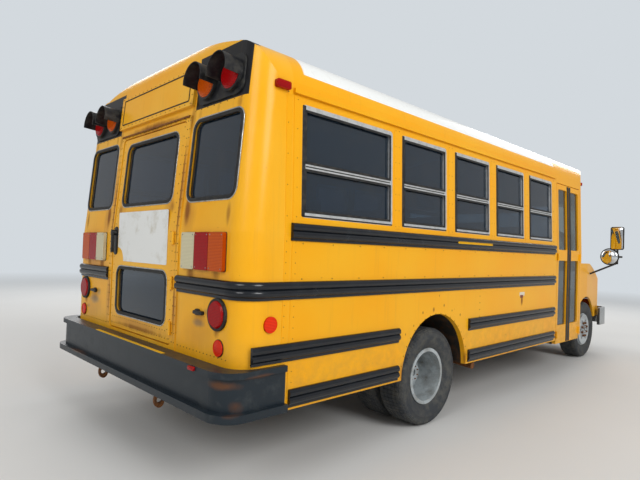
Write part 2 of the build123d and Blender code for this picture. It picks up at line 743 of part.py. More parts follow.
# Rub rails: ribbed black strips along the walls; the second runs round the rear corners
rail_proud = 24
rail_height = 100
step_proud = 8
rail_rows = ((1364, first_window - 75, False), (694, 59, True), (435, 324, True))  # low edge, rear end, split
rail_front = 4120
wrap_rail_z = 1035
arch_clear = 490


def rail_section(base):
    # Two round lobes above a thin lower step, drawn outwards from the plane's origin
    with BuildSketch(base) as section:
        with BuildLine():
            Polyline((0, rail_height), (0, 0), (step_proud, 0), (step_proud, 14))
            ThreePointArc((step_proud, 14), (rail_proud, 35), (rail_proud / 2, 56))
            ThreePointArc((rail_proud / 2, 56), (rail_proud, 77), (step_proud, rail_height))
            Line((step_proud, rail_height), (0, rail_height))
        make_face()
    return section.sketch


with BuildPart() as rub_rails:
    for side in (-1, 1):
        seat_y = side * (body_half + joint)
        for low, start, broken in rail_rows:
            ends = [rear_face + start, rear_face + rail_front]
            if broken:
                ends[1:1] = [rear_axle_x - arch_clear, rear_axle_x + arch_clear - 20]
            for first, last in zip(ends[::2], ends[1::2]):
                base = Plane(origin=(first, seat_y, low), x_dir=(0, side, 0), z_dir=(side, 0, 0))
                extrude(rail_section(base), amount=(last - first) * side)
        corner_x = rear_face + corner_radius
        corner_y = side * (body_half - corner_radius)
        base = Plane(origin=(corner_x, seat_y, wrap_rail_z), x_dir=(0, side, 0), z_dir=(side, 0, 0))
        extrude(rail_section(base), amount=(rear_face + rail_front - corner_x) * side)
        revolve(rail_section(base), axis=Axis((corner_x, corner_y, 0), (0, 0, side)), revolution_arc=90)
        inner_y = side * (exit_half + exit_trim + joint)
        base = Plane(origin=(rear_face - joint, inner_y, wrap_rail_z), x_dir=(-1, 0, 0), z_dir=(0, 1, 0))
        extrude(rail_section(base), amount=corner_y - inner_y)
rub_rails.part.label = "rub_rails"

# Ladder frame: two channel rails with cross members
frame_rear = rear_face - 85
frame_front = nose_front - 60
cross_width = 60
high_cross = (rail_top - 60, rail_top - 10)
low_cross = (rail_bottom + 10, rail_bottom + 50)
cross_members = ((frame_rear + 40, high_cross), (rear_axle_x - 780, high_cross), (rear_axle_x + 780, high_cross),
                 (rear_axle_x + 1500, high_cross), (front_axle_x - 1200, low_cross),
                 (front_axle_x - 700, low_cross), (frame_front - 60, high_cross))
with BuildPart() as frame:
    for side in (-1, 1):
        with BuildSketch(Plane.YZ.offset(frame_rear)):
            with Locations((side * rail_centre, (rail_top + rail_bottom) / 2)):
                Rectangle(rail_width, rail_depth)
            with Locations((side * (rail_centre - rail_wall), (rail_top + rail_bottom) / 2)):
                Rectangle(rail_width, rail_depth - 2 * rail_wall, mode=Mode.SUBTRACT)
        extrude(amount=frame_front - frame_rear)
    for x, (low, high) in cross_members:
        add(block(x - cross_width / 2, x + cross_width / 2, rail_wall - rail_outer, rail_outer - rail_wall,
                  low, high))
frame.part.label = "frame"

# Rear axle: tube and differential, on leaf springs hung from the rails
spring_y = rail_outer + 50
spring_width = 64
spring_reach = 640
spring_thick = 14
drum_face = dual_mean_track / 2 - 190
spindle_radius = 26
spindle_end = dual_mean_track / 2 + 60
hanger_z = rail_bottom + 25
saddle_z = axle_z + axle_tube_radius
with BuildPart() as rear_axle:
    with Locations((rear_axle_x, 0, axle_z)):
        Cylinder(axle_tube_radius, 2 * drum_face, rotation=(90, 0, 0))
        Cylinder(spindle_radius, 2 * spindle_end, rotation=(90, 0, 0))
        Sphere(150)
    with Locations((rear_axle_x + 150, 0, axle_z)):
        Cylinder(48, 120, rotation=(0, 90, 0))
    for side in (-1, 1):
        # Three leaves, each shorter than the one above, clamped on the axle
        with BuildSketch(Plane.XZ.offset(-side * spring_y - spring_width / 2)):
            for leaf_no, reach in enumerate((spring_reach, spring_reach * 0.75, spring_reach * 0.5)):
                rise = (hanger_z - saddle_z - 3 * spring_thick) * (reach / spring_reach) ** 2
                base = saddle_z + (2 - leaf_no) * spring_thick
                with BuildLine():
                    ThreePointArc((rear_axle_x - reach, base + rise), (rear_axle_x, base),
                                  (rear_axle_x + reach, base + rise))
                    Line((rear_axle_x + reach, base + rise), (rear_axle_x + reach, base + rise + spring_thick))
                    ThreePointArc((rear_axle_x + reach, base + rise + spring_thick),
                                  (rear_axle_x, base + spring_thick),
                                  (rear_axle_x - reach, base + rise + spring_thick))
                    Line((rear_axle_x - reach, base + rise + spring_thick), (rear_axle_x - reach, base + rise))
                make_face()
        extrude(amount=spring_width)
        with Locations((rear_axle_x, side * spring_y, saddle_z + 15)):
            Box(110, spring_width + 20, 50)
        for end in (-1, 1):
            x = rear_axle_x + end * spring_reach
            with Locations((x, side * spring_y, hanger_z + 8)):
                Cylinder(24, spring_width, rotation=(90, 0, 0))
            add(side_block(x - 30, x + 30, rail_outer + joint, spring_y, hanger_z, rail_top - 30, side))
rear_axle.part.label = "rear_axle"

# Front suspension: cross member, upper and lower arms and coil springs
kingpin_y = 800
knuckle_low = 270
knuckle_high = 474
arm_radius = 15
ball_radius = 28
ball_height = 24
lower_pivot_z = rail_bottom - 198
upper_pivot_z = rail_bottom + 90
lower_spread = 170
upper_spread = 110
cross_depth = 90
cross_half = 75
coil_y = 560
coil_radius = 50
coil_wire = 8
coil_low = lower_pivot_z
coil_high = rail_bottom - 20
coil_turns = 6
with BuildPart() as front_suspension:
    add(block(front_axle_x - cross_half, front_axle_x + cross_half, -rail_outer, rail_outer,
              rail_bottom - cross_depth, rail_bottom))
    for side in (-1, 1):
        with Locations((front_axle_x, side * rail_centre, lower_pivot_z)):
            Cylinder(18, 2 * lower_spread + 40, rotation=(0, 90, 0))
        with Locations((front_axle_x, side * (rail_outer + 16 + joint), upper_pivot_z)):
            Cylinder(16, 2 * upper_spread + 40, rotation=(0, 90, 0))
        add(side_block(front_axle_x - cross_half, front_axle_x + cross_half, rail_centre - 20,
                       rail_centre + 20, lower_pivot_z, rail_bottom - cross_depth, side))
        for spread in (-1, 1):
            add(rod((front_axle_x + spread * lower_spread, side * rail_centre, lower_pivot_z),
                    (front_axle_x, side * kingpin_y, knuckle_low - joint - arm_radius - 4), arm_radius))
            add(rod((front_axle_x + spread * upper_spread, side * (rail_outer + 16), upper_pivot_z),
                    (front_axle_x, side * kingpin_y, knuckle_high + joint + arm_radius + 4), arm_radius))
        with Locations((front_axle_x, side * kingpin_y, knuckle_low - joint - ball_height / 2),
                       (front_axle_x, side * kingpin_y, knuckle_high + joint + ball_height / 2)):
            Cylinder(ball_radius, ball_height)
        # Spring seat between the lower arm's legs, the coil, and its tower on the rail
        add(side_block(front_axle_x - 95, front_axle_x + 95, coil_y - 70, coil_y + 60,
                       coil_low - 8, coil_low + 8, side))
        add(side_block(front_axle_x - 60, front_axle_x + 60, rail_outer + joint, coil_y + 60,
                       coil_high, coil_high + 10, side))
        add(side_block(front_axle_x - 60, front_axle_x + 60, rail_outer + joint, rail_outer + 10,
                       coil_high, upper_pivot_z - 10, side))
        with Locations((front_axle_x, side * coil_y, (coil_low + coil_high) / 2)):
            Cylinder(coil_radius - coil_wire, coil_high - coil_low)
        for turn in range(coil_turns):
            with Locations((front_axle_x, side * coil_y,
                            coil_low + 20 + turn * (coil_high - coil_low - 30) / (coil_turns - 1))):
                Cylinder(coil_radius + coil_wire, 1.5 * coil_wire)
front_suspension.part.label = "front_suspension"

# Knuckles: the uprights that carry the front wheels and turn about their kingpins
steer_arm = 120
steer_arm_z = axle_z - 50
tie_rod_radius = 12
spindle_reach = 130
front_wheel_y = front_track / 2
knuckles = []
for name, side in (("left", 1), ("right", -1)):
    with BuildPart() as knuckle:
        with Locations((front_axle_x, side * kingpin_y, (knuckle_low + knuckle_high) / 2)):
            Cylinder(30, knuckle_high - knuckle_low)
        with Locations((front_axle_x, side * (kingpin_y + spindle_reach / 2), axle_z)):
            Cylinder(spindle_radius, spindle_reach, rotation=(90, 0, 0))
        add(block(front_axle_x - steer_arm, front_axle_x, side * kingpin_y - 14, side * kingpin_y + 14,
                  steer_arm_z - 10, steer_arm_z + 10))
        with Locations((front_axle_x - steer_arm, side * kingpin_y, steer_arm_z)):
            Cylinder(20, 20)
    knuckle.part.label = "knuckle_" + name
    knuckles.append(knuckle.part)

# Tie rod between the steering arms, hung below them on its ball joints
rod_z = steer_arm_z - 10 - joint - tie_rod_radius
with BuildPart() as tie_rod:
    with Locations((front_axle_x - steer_arm, 0, rod_z)):
        Cylinder(tie_rod_radius, 2 * kingpin_y, rotation=(90, 0, 0))
    for side in (-1, 1):
        with Locations((front_axle_x - steer_arm, side * kingpin_y, rod_z)):
            Cylinder(20, 2 * tie_rod_radius)
tie_rod.part.label = "tie_rod"


hub_radius = 70
hub_bore = spindle_radius + 0.5
hand_holes = 6
tyre_inner = rim_radius + joint


def rim_body(centres, disc, hub_low, hub_high, side):
    # A steel rim, or a twin pair, turned about Y at the origin, with hand holes and a hub
    with BuildPart() as rim:
        with BuildSketch(Plane.XY):
            for centre in centres:
                with Locations((rim_radius - 7, side * centre)):
                    Rectangle(14, rim_width)
                for flange in (-1, 1):
                    with Locations((rim_radius + 5, side * centre + flange * (rim_width / 2 - 4))):
                        Rectangle(14, 8)
                low, high = sorted((centre, disc))
                with Locations((rim_radius - 7, side * (low + high) / 2)):
                    Rectangle(14, high - low + 10)
            with Locations((rim_radius / 2 + 20, side * disc)):
                Rectangle(rim_radius - 50, 12)
            with Locations(((hub_radius + hub_bore) / 2, side * (hub_low + hub_high) / 2)):
                Rectangle(hub_radius - hub_bore, hub_high - hub_low)
        revolve(axis=Axis.Y)
        with Locations((0, side * disc, 0)):
            with Locations(Rotation(90, 0, 0)):
                with PolarLocations(125, hand_holes):
                    Cylinder(20, 30, mode=Mode.SUBTRACT)
    return rim.part


tyre_sides = 48
tread_half = 80
shoulder_half = 98


def tyre_ring(plane, radius):
    # One many-sided outline of the tyre
    with BuildSketch(plane) as ring:
        RegularPolygon(radius, tyre_sides)
    return ring.sketch


def tyre_body(centre):
    # A road tyre about Y at the origin: flat tread, round shoulders and hollowed flanks
    flanks = ((-tyre_width / 2, 306), (-shoulder_half, 356), (-tread_half, tyre_radius),
              (tread_half, tyre_radius), (shoulder_half, 356), (tyre_width / 2, 306))
    with BuildPart() as tyre:
        loft([tyre_ring(Plane.XZ.offset(-centre - y), radius) for y, radius in flanks], ruled=True)
        extrude(tyre_ring(Plane.XZ.offset(-centre), tyre_inner / cos(pi / tyre_sides)), amount=tyre_width,
                both=True, mode=Mode.SUBTRACT)
        for side in (-1, 1):
            # Room for the rim's flange, then the hollow of the flank
            extrude(tyre_ring(Plane.XZ.offset(-centre - side * (rim_width / 2 - 8 - joint)),
                              (tyre_inner + 14) / cos(pi / tyre_sides)), amount=-side * tyre_width / 2,
                    mode=Mode.SUBTRACT)
            loft([tyre_ring(Plane.XZ.offset(-centre - side * y), radius)
                  for y, radius in ((tyre_width / 2 + 1, 292), (rim_width / 2 + 1, 229))], ruled=True,
                 mode=Mode.SUBTRACT)
    return tyre.part


wheels = []
dual_near = (dual_mean_track - dual_spacing) / 2
dual_far = (dual_mean_track + dual_spacing) / 2
for place, x, centres, disc, hub in (
        ("front", front_axle_x, (front_wheel_y,), front_wheel_y + 95, (kingpin_y + 40, front_wheel_y + 110)),
        ("rear", rear_axle_x, (dual_near, dual_far), dual_mean_track / 2, (drum_face + 5, dual_mean_track / 2 + 90))):
    for name, side in (("left", 1), ("right", -1)):
        rim = Pos(x, 0, axle_z) * rim_body(centres, disc, hub[0], hub[1], side)
        rim.label = place + "_rim_" + name
        wheels.append(rim)
        with BuildPart() as tyres:
            for centre in centres:
                add(Pos(x, 0, axle_z) * tyre_body(side * centre))
        tyres.part.label = place + "_tyre_" + name
        wheels.append(tyres.part)


# Floor on cross sills, cut out for the wheel tubs and the entry steps
tub_radius = rear_arch_radius + 20
tub_skin = 12
tub_inner_y = 630
well_inner_y = 760
floor_front = firewall_x - 25 - joint
post_rear = door_front - 40 - joint
inside_half = body_half - wall - joint
sill_rows = (200, 700, 1160, 2480, 2950, 3420, 3900)      # stations of the cross sills
with BuildPart() as floor:
    with BuildSketch(Plane.XY.offset(floor_z - floor_thick)):
        with BuildLine():
            Polyline((rear_face + wall + joint, -inside_half + 110), (rear_face + wall + joint, inside_half - 110),
                     (rear_face + wall + 110, inside_half), (wall_end, inside_half),
                     (cab_rear, cab_half - 80), (post_rear, cab_half - 80), (post_rear, cab_half - 135),
                     (floor_front, cab_half - 135), (floor_front, 75 - cab_half), (post_rear, 75 - cab_half),
                     (right_end, -inside_half), (rear_face + wall + 110, -inside_half), close=True)
        make_face()
        for side in (-1, 1):
            with Locations((rear_axle_x, side * (tub_inner_y + body_half) / 2)):
                Rectangle(2 * sqrt(tub_radius ** 2 - (floor_z - floor_thick - skirt_z) ** 2) + 2 * joint,
                          body_half - tub_inner_y + 2 * joint, mode=Mode.SUBTRACT)
        with Locations(((entry_start + entry_end) / 2, -(well_inner_y + body_half) / 2)):
            Rectangle(entry_width + 2 * joint, body_half - well_inner_y + joint, mode=Mode.SUBTRACT)
    extrude(amount=floor_thick)
    for station in sill_rows:
        add(block(rear_face + station - sill_width / 2, rear_face + station + sill_width / 2,
                  -inside_half, inside_half, rail_top, floor_z - floor_thick))
floor.part.label = "floor"

# Wheel tubs: half drums over the rear wheels, closed at their inner ends
with BuildPart() as wheel_tubs:
    for side in (-1, 1):
        with BuildSketch(Plane.XZ.offset(-side * tub_inner_y)):
            with Locations((rear_axle_x, skirt_z)):
                Circle(tub_radius)
                with Locations((0, -tub_radius)):
                    Rectangle(2 * tub_radius, 2 * tub_radius, mode=Mode.SUBTRACT)
        extrude(amount=-side * (inside_half - tub_inner_y))
        with BuildSketch(Plane.XZ.offset(-side * (tub_inner_y + tub_skin))):
            with Locations((rear_axle_x, skirt_z)):
                Circle(tub_radius - tub_skin)
                with Locations((0, -tub_radius)):
                    Rectangle(2 * tub_radius, 2 * tub_radius, mode=Mode.SUBTRACT)
        extrude(amount=-side * body_half, mode=Mode.SUBTRACT)
wheel_tubs.part.label = "wheel_tubs"

# Entry steps: two treads and their risers between side plates
step_skin = 20
step_rise = (floor_z - entry_bottom) / 2
step_outer = body_half - wall - joint
step_inner = well_inner_y + joint
step_edge = (step_outer + step_inner) / 2
step_z = entry_bottom + step_rise
step_low_x = entry_start + joint
step_high_x = entry_end - joint
with BuildPart() as entry_steps:
    for near, distant, low, high in (
            (step_edge, step_outer, entry_bottom, entry_bottom + step_skin),
            (step_edge - step_skin, step_edge, entry_bottom, step_z),
            (step_inner, step_edge, step_z - step_skin, step_z),
            (step_inner, step_inner + step_skin, step_z - step_skin, floor_z)):
        add(side_block(step_low_x, step_high_x, near, distant, low, high, -1))
    for low_x in (step_low_x, step_high_x - step_skin):
        add(side_block(low_x, low_x + step_skin, step_inner, step_outer, entry_bottom, floor_z, -1))
entry_steps.part.label = "entry_steps"

# Engine, as one plain block, and the shaft that runs back to the axle
with BuildPart() as engine:
    add(block(front_axle_x - 330, front_axle_x + 430, -290, 290, rail_bottom + 90, hood_front_z - 40))
engine.part.label = "engine"
shaft_start = front_axle_x - 1050
shaft_radius = 35
with BuildPart() as driveshaft:
    add(block(shaft_start, front_axle_x - 330 - joint, -130, 130, low_cross[1] + joint, rail_top - 20))
    add(rod((shaft_start + 1, 0, low_cross[1] + 55), (rear_axle_x + 217, 0, axle_z), shaft_radius))
driveshaft.part.label = "driveshaft"

# Fuel tank on the left and the exhaust on the right, both hung from the frame
with BuildPart() as fuel_tank:
    with Locations(((rear_axle_x + front_axle_x) / 2 - 150, rail_outer + 250, rail_bottom + 15)):
        Box(1000, 400, 250)
    fillet(fuel_tank.edges().filter_by(Axis.X), radius=50)
    for x in (-350, 350):
        add(side_block((rear_axle_x + front_axle_x) / 2 - 150 + x - 20, (rear_axle_x + front_axle_x) / 2 - 130 + x,
                       rail_outer + joint, rail_outer + 80, rail_bottom, rail_top - 20, 1))
fuel_tank.part.label = "fuel_tank"

exhaust_y = -rail_outer - 130
exhaust_z = rail_bottom - 20
with BuildPart() as exhaust:
    with Locations((front_axle_x - 1500, exhaust_y, exhaust_z)):
        Cylinder(95, 620, rotation=(0, 90, 0))
    add(rod((front_axle_x - 900, exhaust_y, exhaust_z), (rear_axle_x + 620, exhaust_y, exhaust_z), 30))
    add(rod((rear_axle_x + 620, exhaust_y + 4, exhaust_z), (rear_axle_x + 620, 30 - body_half, skirt_z - 42), 30))
    for x in (front_axle_x - 1250, front_axle_x - 1750):
        add(side_block(x - 15, x + 15, rail_outer + joint, -exhaust_y, exhaust_z, rail_bottom + 60, -1))
exhaust.part.label = "exhaust"


def rear_band(reach, side_reach, low, high, depth):
    # One step of the rear bumper, wrapped round the body's corners
    with BuildPart() as band:
        with BuildSketch(Plane.XY.offset(low)):
            for grow_x, grow_y, mode in ((reach, side_reach, Mode.ADD),
                                         (reach - depth, joint, Mode.SUBTRACT)):
                bend = corner_radius + (grow_y if mode == Mode.SUBTRACT else 10)
                half = body_half + grow_y
                back = rear_face - grow_x
                with BuildLine():
                    Polyline((back, bend - half), (back, half - bend))
                    RadiusArc((back, half - bend), (back + bend, half), bend)
                    Polyline((back + bend, half), (rear_face + bumper_wrap, half),
                             (rear_face + bumper_wrap, -half), (back + bend, -half))
                    RadiusArc((back + bend, -half), (back, bend - half), bend)
                make_face(mode=mode)
        extrude(amount=high - low)
    return band.part


# Rear bumper: a top lip, a recessed face and a flared lower lip
bumper_wrap = 287
bumper_low = 430
bumper_top = 680
bumper_rows = ((bumper_low, bumper_low + 42, bumper_reach, 50, 40),       # low, high, reach, side reach, depth
               (bumper_low + 42, bumper_top - 34, bumper_reach - 36, 20, 12),
               (bumper_top - 34, bumper_top, bumper_reach - 16, 36, 100))
with BuildPart() as rear_bumper:
    for low, high, reach, side_reach, depth in bumper_rows:
        add(rear_band(reach, side_reach, low, high, depth))
rear_bumper.part.label = "rear_bumper"

# Tow eyes: flat plates with a hole, bolted to the outside of the frame's rear ends
eye_plate = 22
eye_radius = 20
eye_y = rail_outer + joint + eye_plate / 2
eye_x = rear_face - 45
eye_z = 365
with BuildPart() as tow_eyes:
    for side in (-1, 1):
        with BuildSketch(Plane.XZ.offset(-side * (eye_y + side * eye_plate / 2))):
            with Locations((eye_x, eye_z)):
                Ellipse(34, 50)
            with Locations((eye_x + 10, (eye_z + rail_bottom + 60) / 2)):
                Rectangle(44, rail_bottom + 60 - eye_z)
            with Locations((eye_x, eye_z)):
                Circle(eye_radius, mode=Mode.SUBTRACT)
        extrude(amount=eye_plate)
tow_eyes.part.label = "tow_eyes"

# Front bumper: a deep bar that wraps the nose's corners
front_bumper_low = 400
front_bumper_high = 640
front_bumper_half = 1030
front_bumper_wrap = 390
with BuildPart() as front_bumper:
    with BuildSketch(Plane.XY.offset(front_bumper_low)):
        for grow, mode in ((0, Mode.ADD), (36, Mode.SUBTRACT)):
            bend = 190 - grow
            half = front_bumper_half - grow
            tip = front_end - grow
            with BuildLine():
                Polyline((tip, half - bend), (tip, bend - half))
                RadiusArc((tip, bend - half), (tip - bend, -half), bend)
                Polyline((tip - bend, -half), (front_end - front_bumper_wrap, -half),
                         (front_end - front_bumper_wrap, half), (tip - bend, half))
                RadiusArc((tip - bend, half), (tip, half - bend), bend)
            make_face(mode=mode)
    extrude(amount=front_bumper_high - front_bumper_low)
    for side in (-1, 1):
        add(side_block(frame_front + joint, front_end - 36, rail_centre - 25, rail_centre + 25,
                       rail_bottom, nose_z - joint, side))
front_bumper.part.label = "front_bumper"


def lamp_disc(plane, across, up, radius, depth):
    # A round lens whose face is domed
    with BuildPart() as lens:
        with BuildSketch(plane):
            with Locations((across, up)):
                Circle(radius)
        extrude(amount=depth)
        chamfer(lens.edges().sort_by(Axis((0, 0, 0), plane.z_dir))[-1], depth / 3)
    return lens.part


def lamp_hood(plane, across, up):
    # A black housing ring with a visor over its upper half
    with BuildPart() as housing:
        with BuildSketch(plane):
            with Locations((across, up)):
                Circle(hood_radius)
                Circle(lens_radius + joint, mode=Mode.SUBTRACT)
        extrude(amount=housing_depth)
        with BuildSketch(plane):
            with Locations((across, up)):
                Circle(hood_radius)
                Circle(hood_radius - visor_skin, mode=Mode.SUBTRACT)
            with Locations((across, up - hood_radius * 1.25)):
                Rectangle(3 * hood_radius, 2 * hood_radius, mode=Mode.SUBTRACT)
        extrude(amount=visor_reach)
    return housing.part


# Warning lamps: four behind and four in front, each under a visor on a black panel
lens_radius = 84
lens_depth = 34
hood_radius = 98
housing_depth = 22
visor_skin = 5
visor_reach = 120
panel_thick = 10
amber_y = 700
red_y = 955
warning_z = 2290
front_amber_y = 600
front_red_y = 850
warning_rows = (               # plane on the panel's face, across, up, colour
    (rear_plane(warning_z, -panel_thick - joint), amber_y, warning_z - belt_z, "amber"),
    (rear_plane(warning_z, -panel_thick - joint), red_y, warning_z - belt_z, "red"),
    (cap_plane(-panel_thick - joint), front_amber_y, front_warning_up, "amber"),
    (cap_plane(-panel_thick - joint), front_red_y, front_warning_up, "red"))
lenses = {"amber": [], "red": [], "clear": []}
for plane, across, up, colour in warning_rows:
    for side in (-1, 1):
        lenses[colour].append(lamp_disc(plane, side * across, up, lens_radius, lens_depth))

with BuildPart() as warning_panels:
    for side in (-1, 1):
        with BuildSketch(rear_plane(warning_z, -joint)):
            with Locations((side * (amber_y + red_y) / 2, warning_z - belt_z)):
                RectangleRounded(red_y - amber_y + 2 * hood_radius + 20, 2 * hood_radius + 40, 60)
        extrude(amount=panel_thick)
        with BuildSketch(cap_plane(-joint)):
            with Locations((side * (front_amber_y + front_red_y) / 2, front_warning_up)):
                RectangleRounded(front_red_y - front_amber_y + 2 * hood_radius + 20, 2 * hood_radius + 40, 60)
        extrude(amount=panel_thick)
    for plane, across, up, colour in warning_rows:
        for side in (-1, 1):
            add(lamp_hood(plane.offset(-joint), side * across, up))
warning_panels.part.label = "warning_panels"

# Tail lamps in rows of three, round stop lamps, reflectors and small marker lamps
cell = 150
cell_low = 1180
cell_high = 1395
cell_proud = 26
cell_start = 600
stop_y = 990
stop_z = 945
stop_radius = 75
reflector_y = 1010
reflector_z = 765
reflector_radius = 44
marker_x = rear_face + 225
marker_z = 2262
tail_plane = rear_plane(0, -joint)
for side in (-1, 1):
    for number, colour in enumerate(("clear", "red", "amber")):
        with BuildPart() as tail_cell:
            with BuildSketch(tail_plane):
                with Locations((side * (cell_start + (number + 0.5) * cell), (cell_low + cell_high) / 2 - belt_z)):
                    RectangleRounded(cell - 4, cell_high - cell_low, 12)
            extrude(amount=cell_proud)
        lenses[colour].append(tail_cell.part)
    lenses["red"].append(lamp_disc(tail_plane, side * stop_y, stop_z - belt_z, stop_radius, 24))
    lenses["red"].append(lamp_disc(tail_plane, side * reflector_y, reflector_z - belt_z, reflector_radius, 8))
    lenses["red"].append(lamp_disc(side_plane(side, 0, -joint), -side * (rear_face + 180), 905 - belt_z,
                                   reflector_radius, 8))
    with BuildPart() as marker:
        with BuildSketch(side_plane(side, marker_z, -joint)):
            with Locations((-side * marker_x, 2225 - belt_z)):
                RectangleRounded(100, 44, 10)
        extrude(amount=24)
    lenses["red"].append(marker.part)
for across in (-160, 0, 160):
    with BuildPart() as clearance_lamp:
        with BuildSketch(cap_plane(-joint)):
            with Locations((across, cap_face_rise - 50)):
                RectangleRounded(100, 40, 10)
        extrude(amount=24)
    lenses["amber"].append(clearance_lamp.part)

with BuildPart() as red_lamps:
    add(lenses["red"])
red_lamps.part.label = "red_lamps"
with BuildPart() as amber_lamps:
    add(lenses["amber"] + [turn_lamps])
amber_lamps.part.label = "amber_lamps"
with BuildPart() as clear_lamps:
    add(lenses["clear"] + [headlamps])
clear_lamps.part.label = "clear_lamps"

# Mirrors on tube arms from the fenders: a flat one above a round domed one
mirror_x = front_axle_x + 190
mirror_y = 1310
mirror_low = 1470
mirror_high = 1780
dome_z = 1375
dome_radius = 115
arm_tube = 12
with BuildPart() as mirrors:
    for side in (-1, 1):
        add(rod((mirror_x - 60, side * (cab_half + joint - 7), 1130), (mirror_x + 25, side * mirror_y, 1290), arm_tube))
        add(rod((mirror_x + 25, side * mirror_y, 1275), (mirror_x + 25, side * mirror_y, mirror_high - 60), arm_tube))
        with BuildSketch(Plane.YZ.offset(mirror_x - 10)):
            with Locations((side * mirror_y, (mirror_low + mirror_high) / 2)):
                RectangleRounded(160, mirror_high - mirror_low, 25)
        extrude(amount=30)
        with BuildSketch(Plane.YZ.offset(mirror_x + 5)):
            with Locations((side * (mirror_y - 90), dome_z)):
                Circle(dome_radius)
        extrude(amount=14)
        add(block(mirror_x + 12, mirror_x + 30, side * mirror_y - 60, side * mirror_y + 12, dome_z - 12, dome_z + 12))
mirrors.part.label = "mirrors"

# Bench seats in rows on both sides of the aisle, and the driver's seat
aisle_half = 200
seat_outer = 1145
seat_rows = 5
seat_start = rear_face + 560
back_thick = 90
cushion_long = 400
cushion_low = 1030
cushion_high = 1150
back_high = 1650
seat_gap = 1
driver_seat_x = rear_face + 4440
driver_seat_y = 500
seat_table = [(seat_start + row * window_pitch, side * (aisle_half + seat_outer) / 2, seat_outer - aisle_half)
              for row in range(seat_rows) for side in (-1, 1)]
seat_table.append((driver_seat_x, driver_seat_y, 480))


def pad(low_x, high_x, middle_y, width, low_z, high_z):
    # A round-edged cushion
    with BuildPart() as cushion:
        add(block(low_x, high_x, middle_y - width / 2, middle_y + width / 2, low_z, high_z))
        chamfer(cushion.edges(), 22)
    return cushion.part


with BuildPart() as seat_pads:
    for start, middle, width in seat_table:
        add(pad(start, start + back_thick, middle, width, cushion_low, back_high))
        add(pad(start + back_thick + seat_gap, start + back_thick + seat_gap + cushion_long, middle, width,
                cushion_low, cushion_high))
seat_pads.part.label = "seat_pads"

# Under each bench two bars run from the wall to a pair of legs by the aisle
frame_bar = 26
bar_low = cushion_low - frame_bar - joint
with BuildPart() as seat_frames:
    for start, middle, width in seat_table:
        side = 1 if middle > 0 else -1
        bench = width == seat_outer - aisle_half
        leg_y = abs(middle) - width / 2 + 60
        bar_end = inside_half if bench else abs(middle) + width / 2 - 40
        for x in (start + 30, start + back_thick + cushion_long - 60):
            add(side_block(x, x + frame_bar, leg_y, bar_end, bar_low, cushion_low - joint, side))
            add(side_block(x, x + frame_bar, leg_y, leg_y + frame_bar, floor_z + joint, bar_low - joint, side))
            if not bench:
                add(side_block(x, x + frame_bar, bar_end - frame_bar, bar_end, floor_z + joint, bar_low - joint,
                               side))
seat_frames.part.label = "seat_frames"

# Dashboard with the steering column and wheel
dash_depth = 300
dash_low = 930
dash_half = 850
wheel_tilt = 30
column_end = (floor_front - dash_depth - 60, driver_seat_y, 1355)
with BuildPart() as dashboard:
    add(block(floor_front - dash_depth, floor_front - joint, -dash_half, dash_half, dash_low, cab_belt - 45))
    fillet(dashboard.edges().filter_by(Axis.Y).group_by(Axis.X)[0], radius=50)
    add(rod((floor_front - dash_depth + 80, driver_seat_y, 1150), column_end, 26))
    with Locations(Location(column_end, (0, -90 + wheel_tilt, 0))):
        Torus(185, 15)
        Box(370, 40, 16)
        Box(40, 370, 16)
dashboard.part.label = "dashboard"

# Stop arm: an eight-sided sign on a hinged bracket on the left wall
sign_flat = 450
sign_thick = 10
stop_axis_x = rear_face + 4086
stop_axis_y = body_half + 52
stop_sign_z = 1165
bracket_low = 1145
bracket_high = 1355
with BuildPart() as stop_bracket:
    add(block(stop_axis_x - 32, stop_axis_x + 32, body_half + joint, body_half + 14, bracket_low, bracket_high))
    for low in (bracket_low, bracket_high - 16):
        add(block(stop_axis_x - 16, stop_axis_x + 16, body_half + 10, stop_axis_y + 16, low, low + 16))
stop_bracket.part.label = "stop_bracket"

with BuildPart() as stop_arm:
    with BuildSketch(Plane.XZ.offset(-stop_axis_y + sign_thick / 2)):
        with Locations((stop_axis_x - 30 - sign_flat / 2, stop_sign_z)):
            RegularPolygon(sign_flat / 2, 8, major_radius=False, rotation=22.5)
    extrude(amount=-sign_thick)
    with Locations((stop_axis_x, stop_axis_y, (bracket_low + bracket_high) / 2)):
        Cylinder(10, bracket_high - bracket_low - 32 - 2 * joint)
    add(block(stop_axis_x - 60, stop_axis_x, stop_axis_y - sign_thick / 2, stop_axis_y + sign_thick / 2,
              bracket_low + 18, bracket_high - 18))
stop_arm.part.label = "stop_arm"

os.makedirs("parts", exist_ok=True)
pieces = [rear_shell, roof, front_cap, cab_shell, fenders, hood, grille, emergency_door, emergency_glass,
          window_frames, body_glass, cab_glass, driver_door, driver_glass, rub_rails, frame, rear_axle,
          front_suspension, tie_rod, floor, wheel_tubs, entry_steps, engine, driveshaft, fuel_tank, exhaust,
          rear_bumper, tow_eyes, front_bumper, warning_panels, red_lamps, amber_lamps, clear_lamps, mirrors,
          seat_pads, seat_frames, dashboard, stop_bracket, stop_arm]
parts = [piece.part for piece in pieces] + side_walls + entry_leaves + entry_glass + knuckles + wheels
for part in parts:
    export_step(part, "parts/" + part.label + ".step")
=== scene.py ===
import math

import bmesh
import bpy
from mathutils import Matrix, Vector
from mathutils.bvhtree import BVHTree


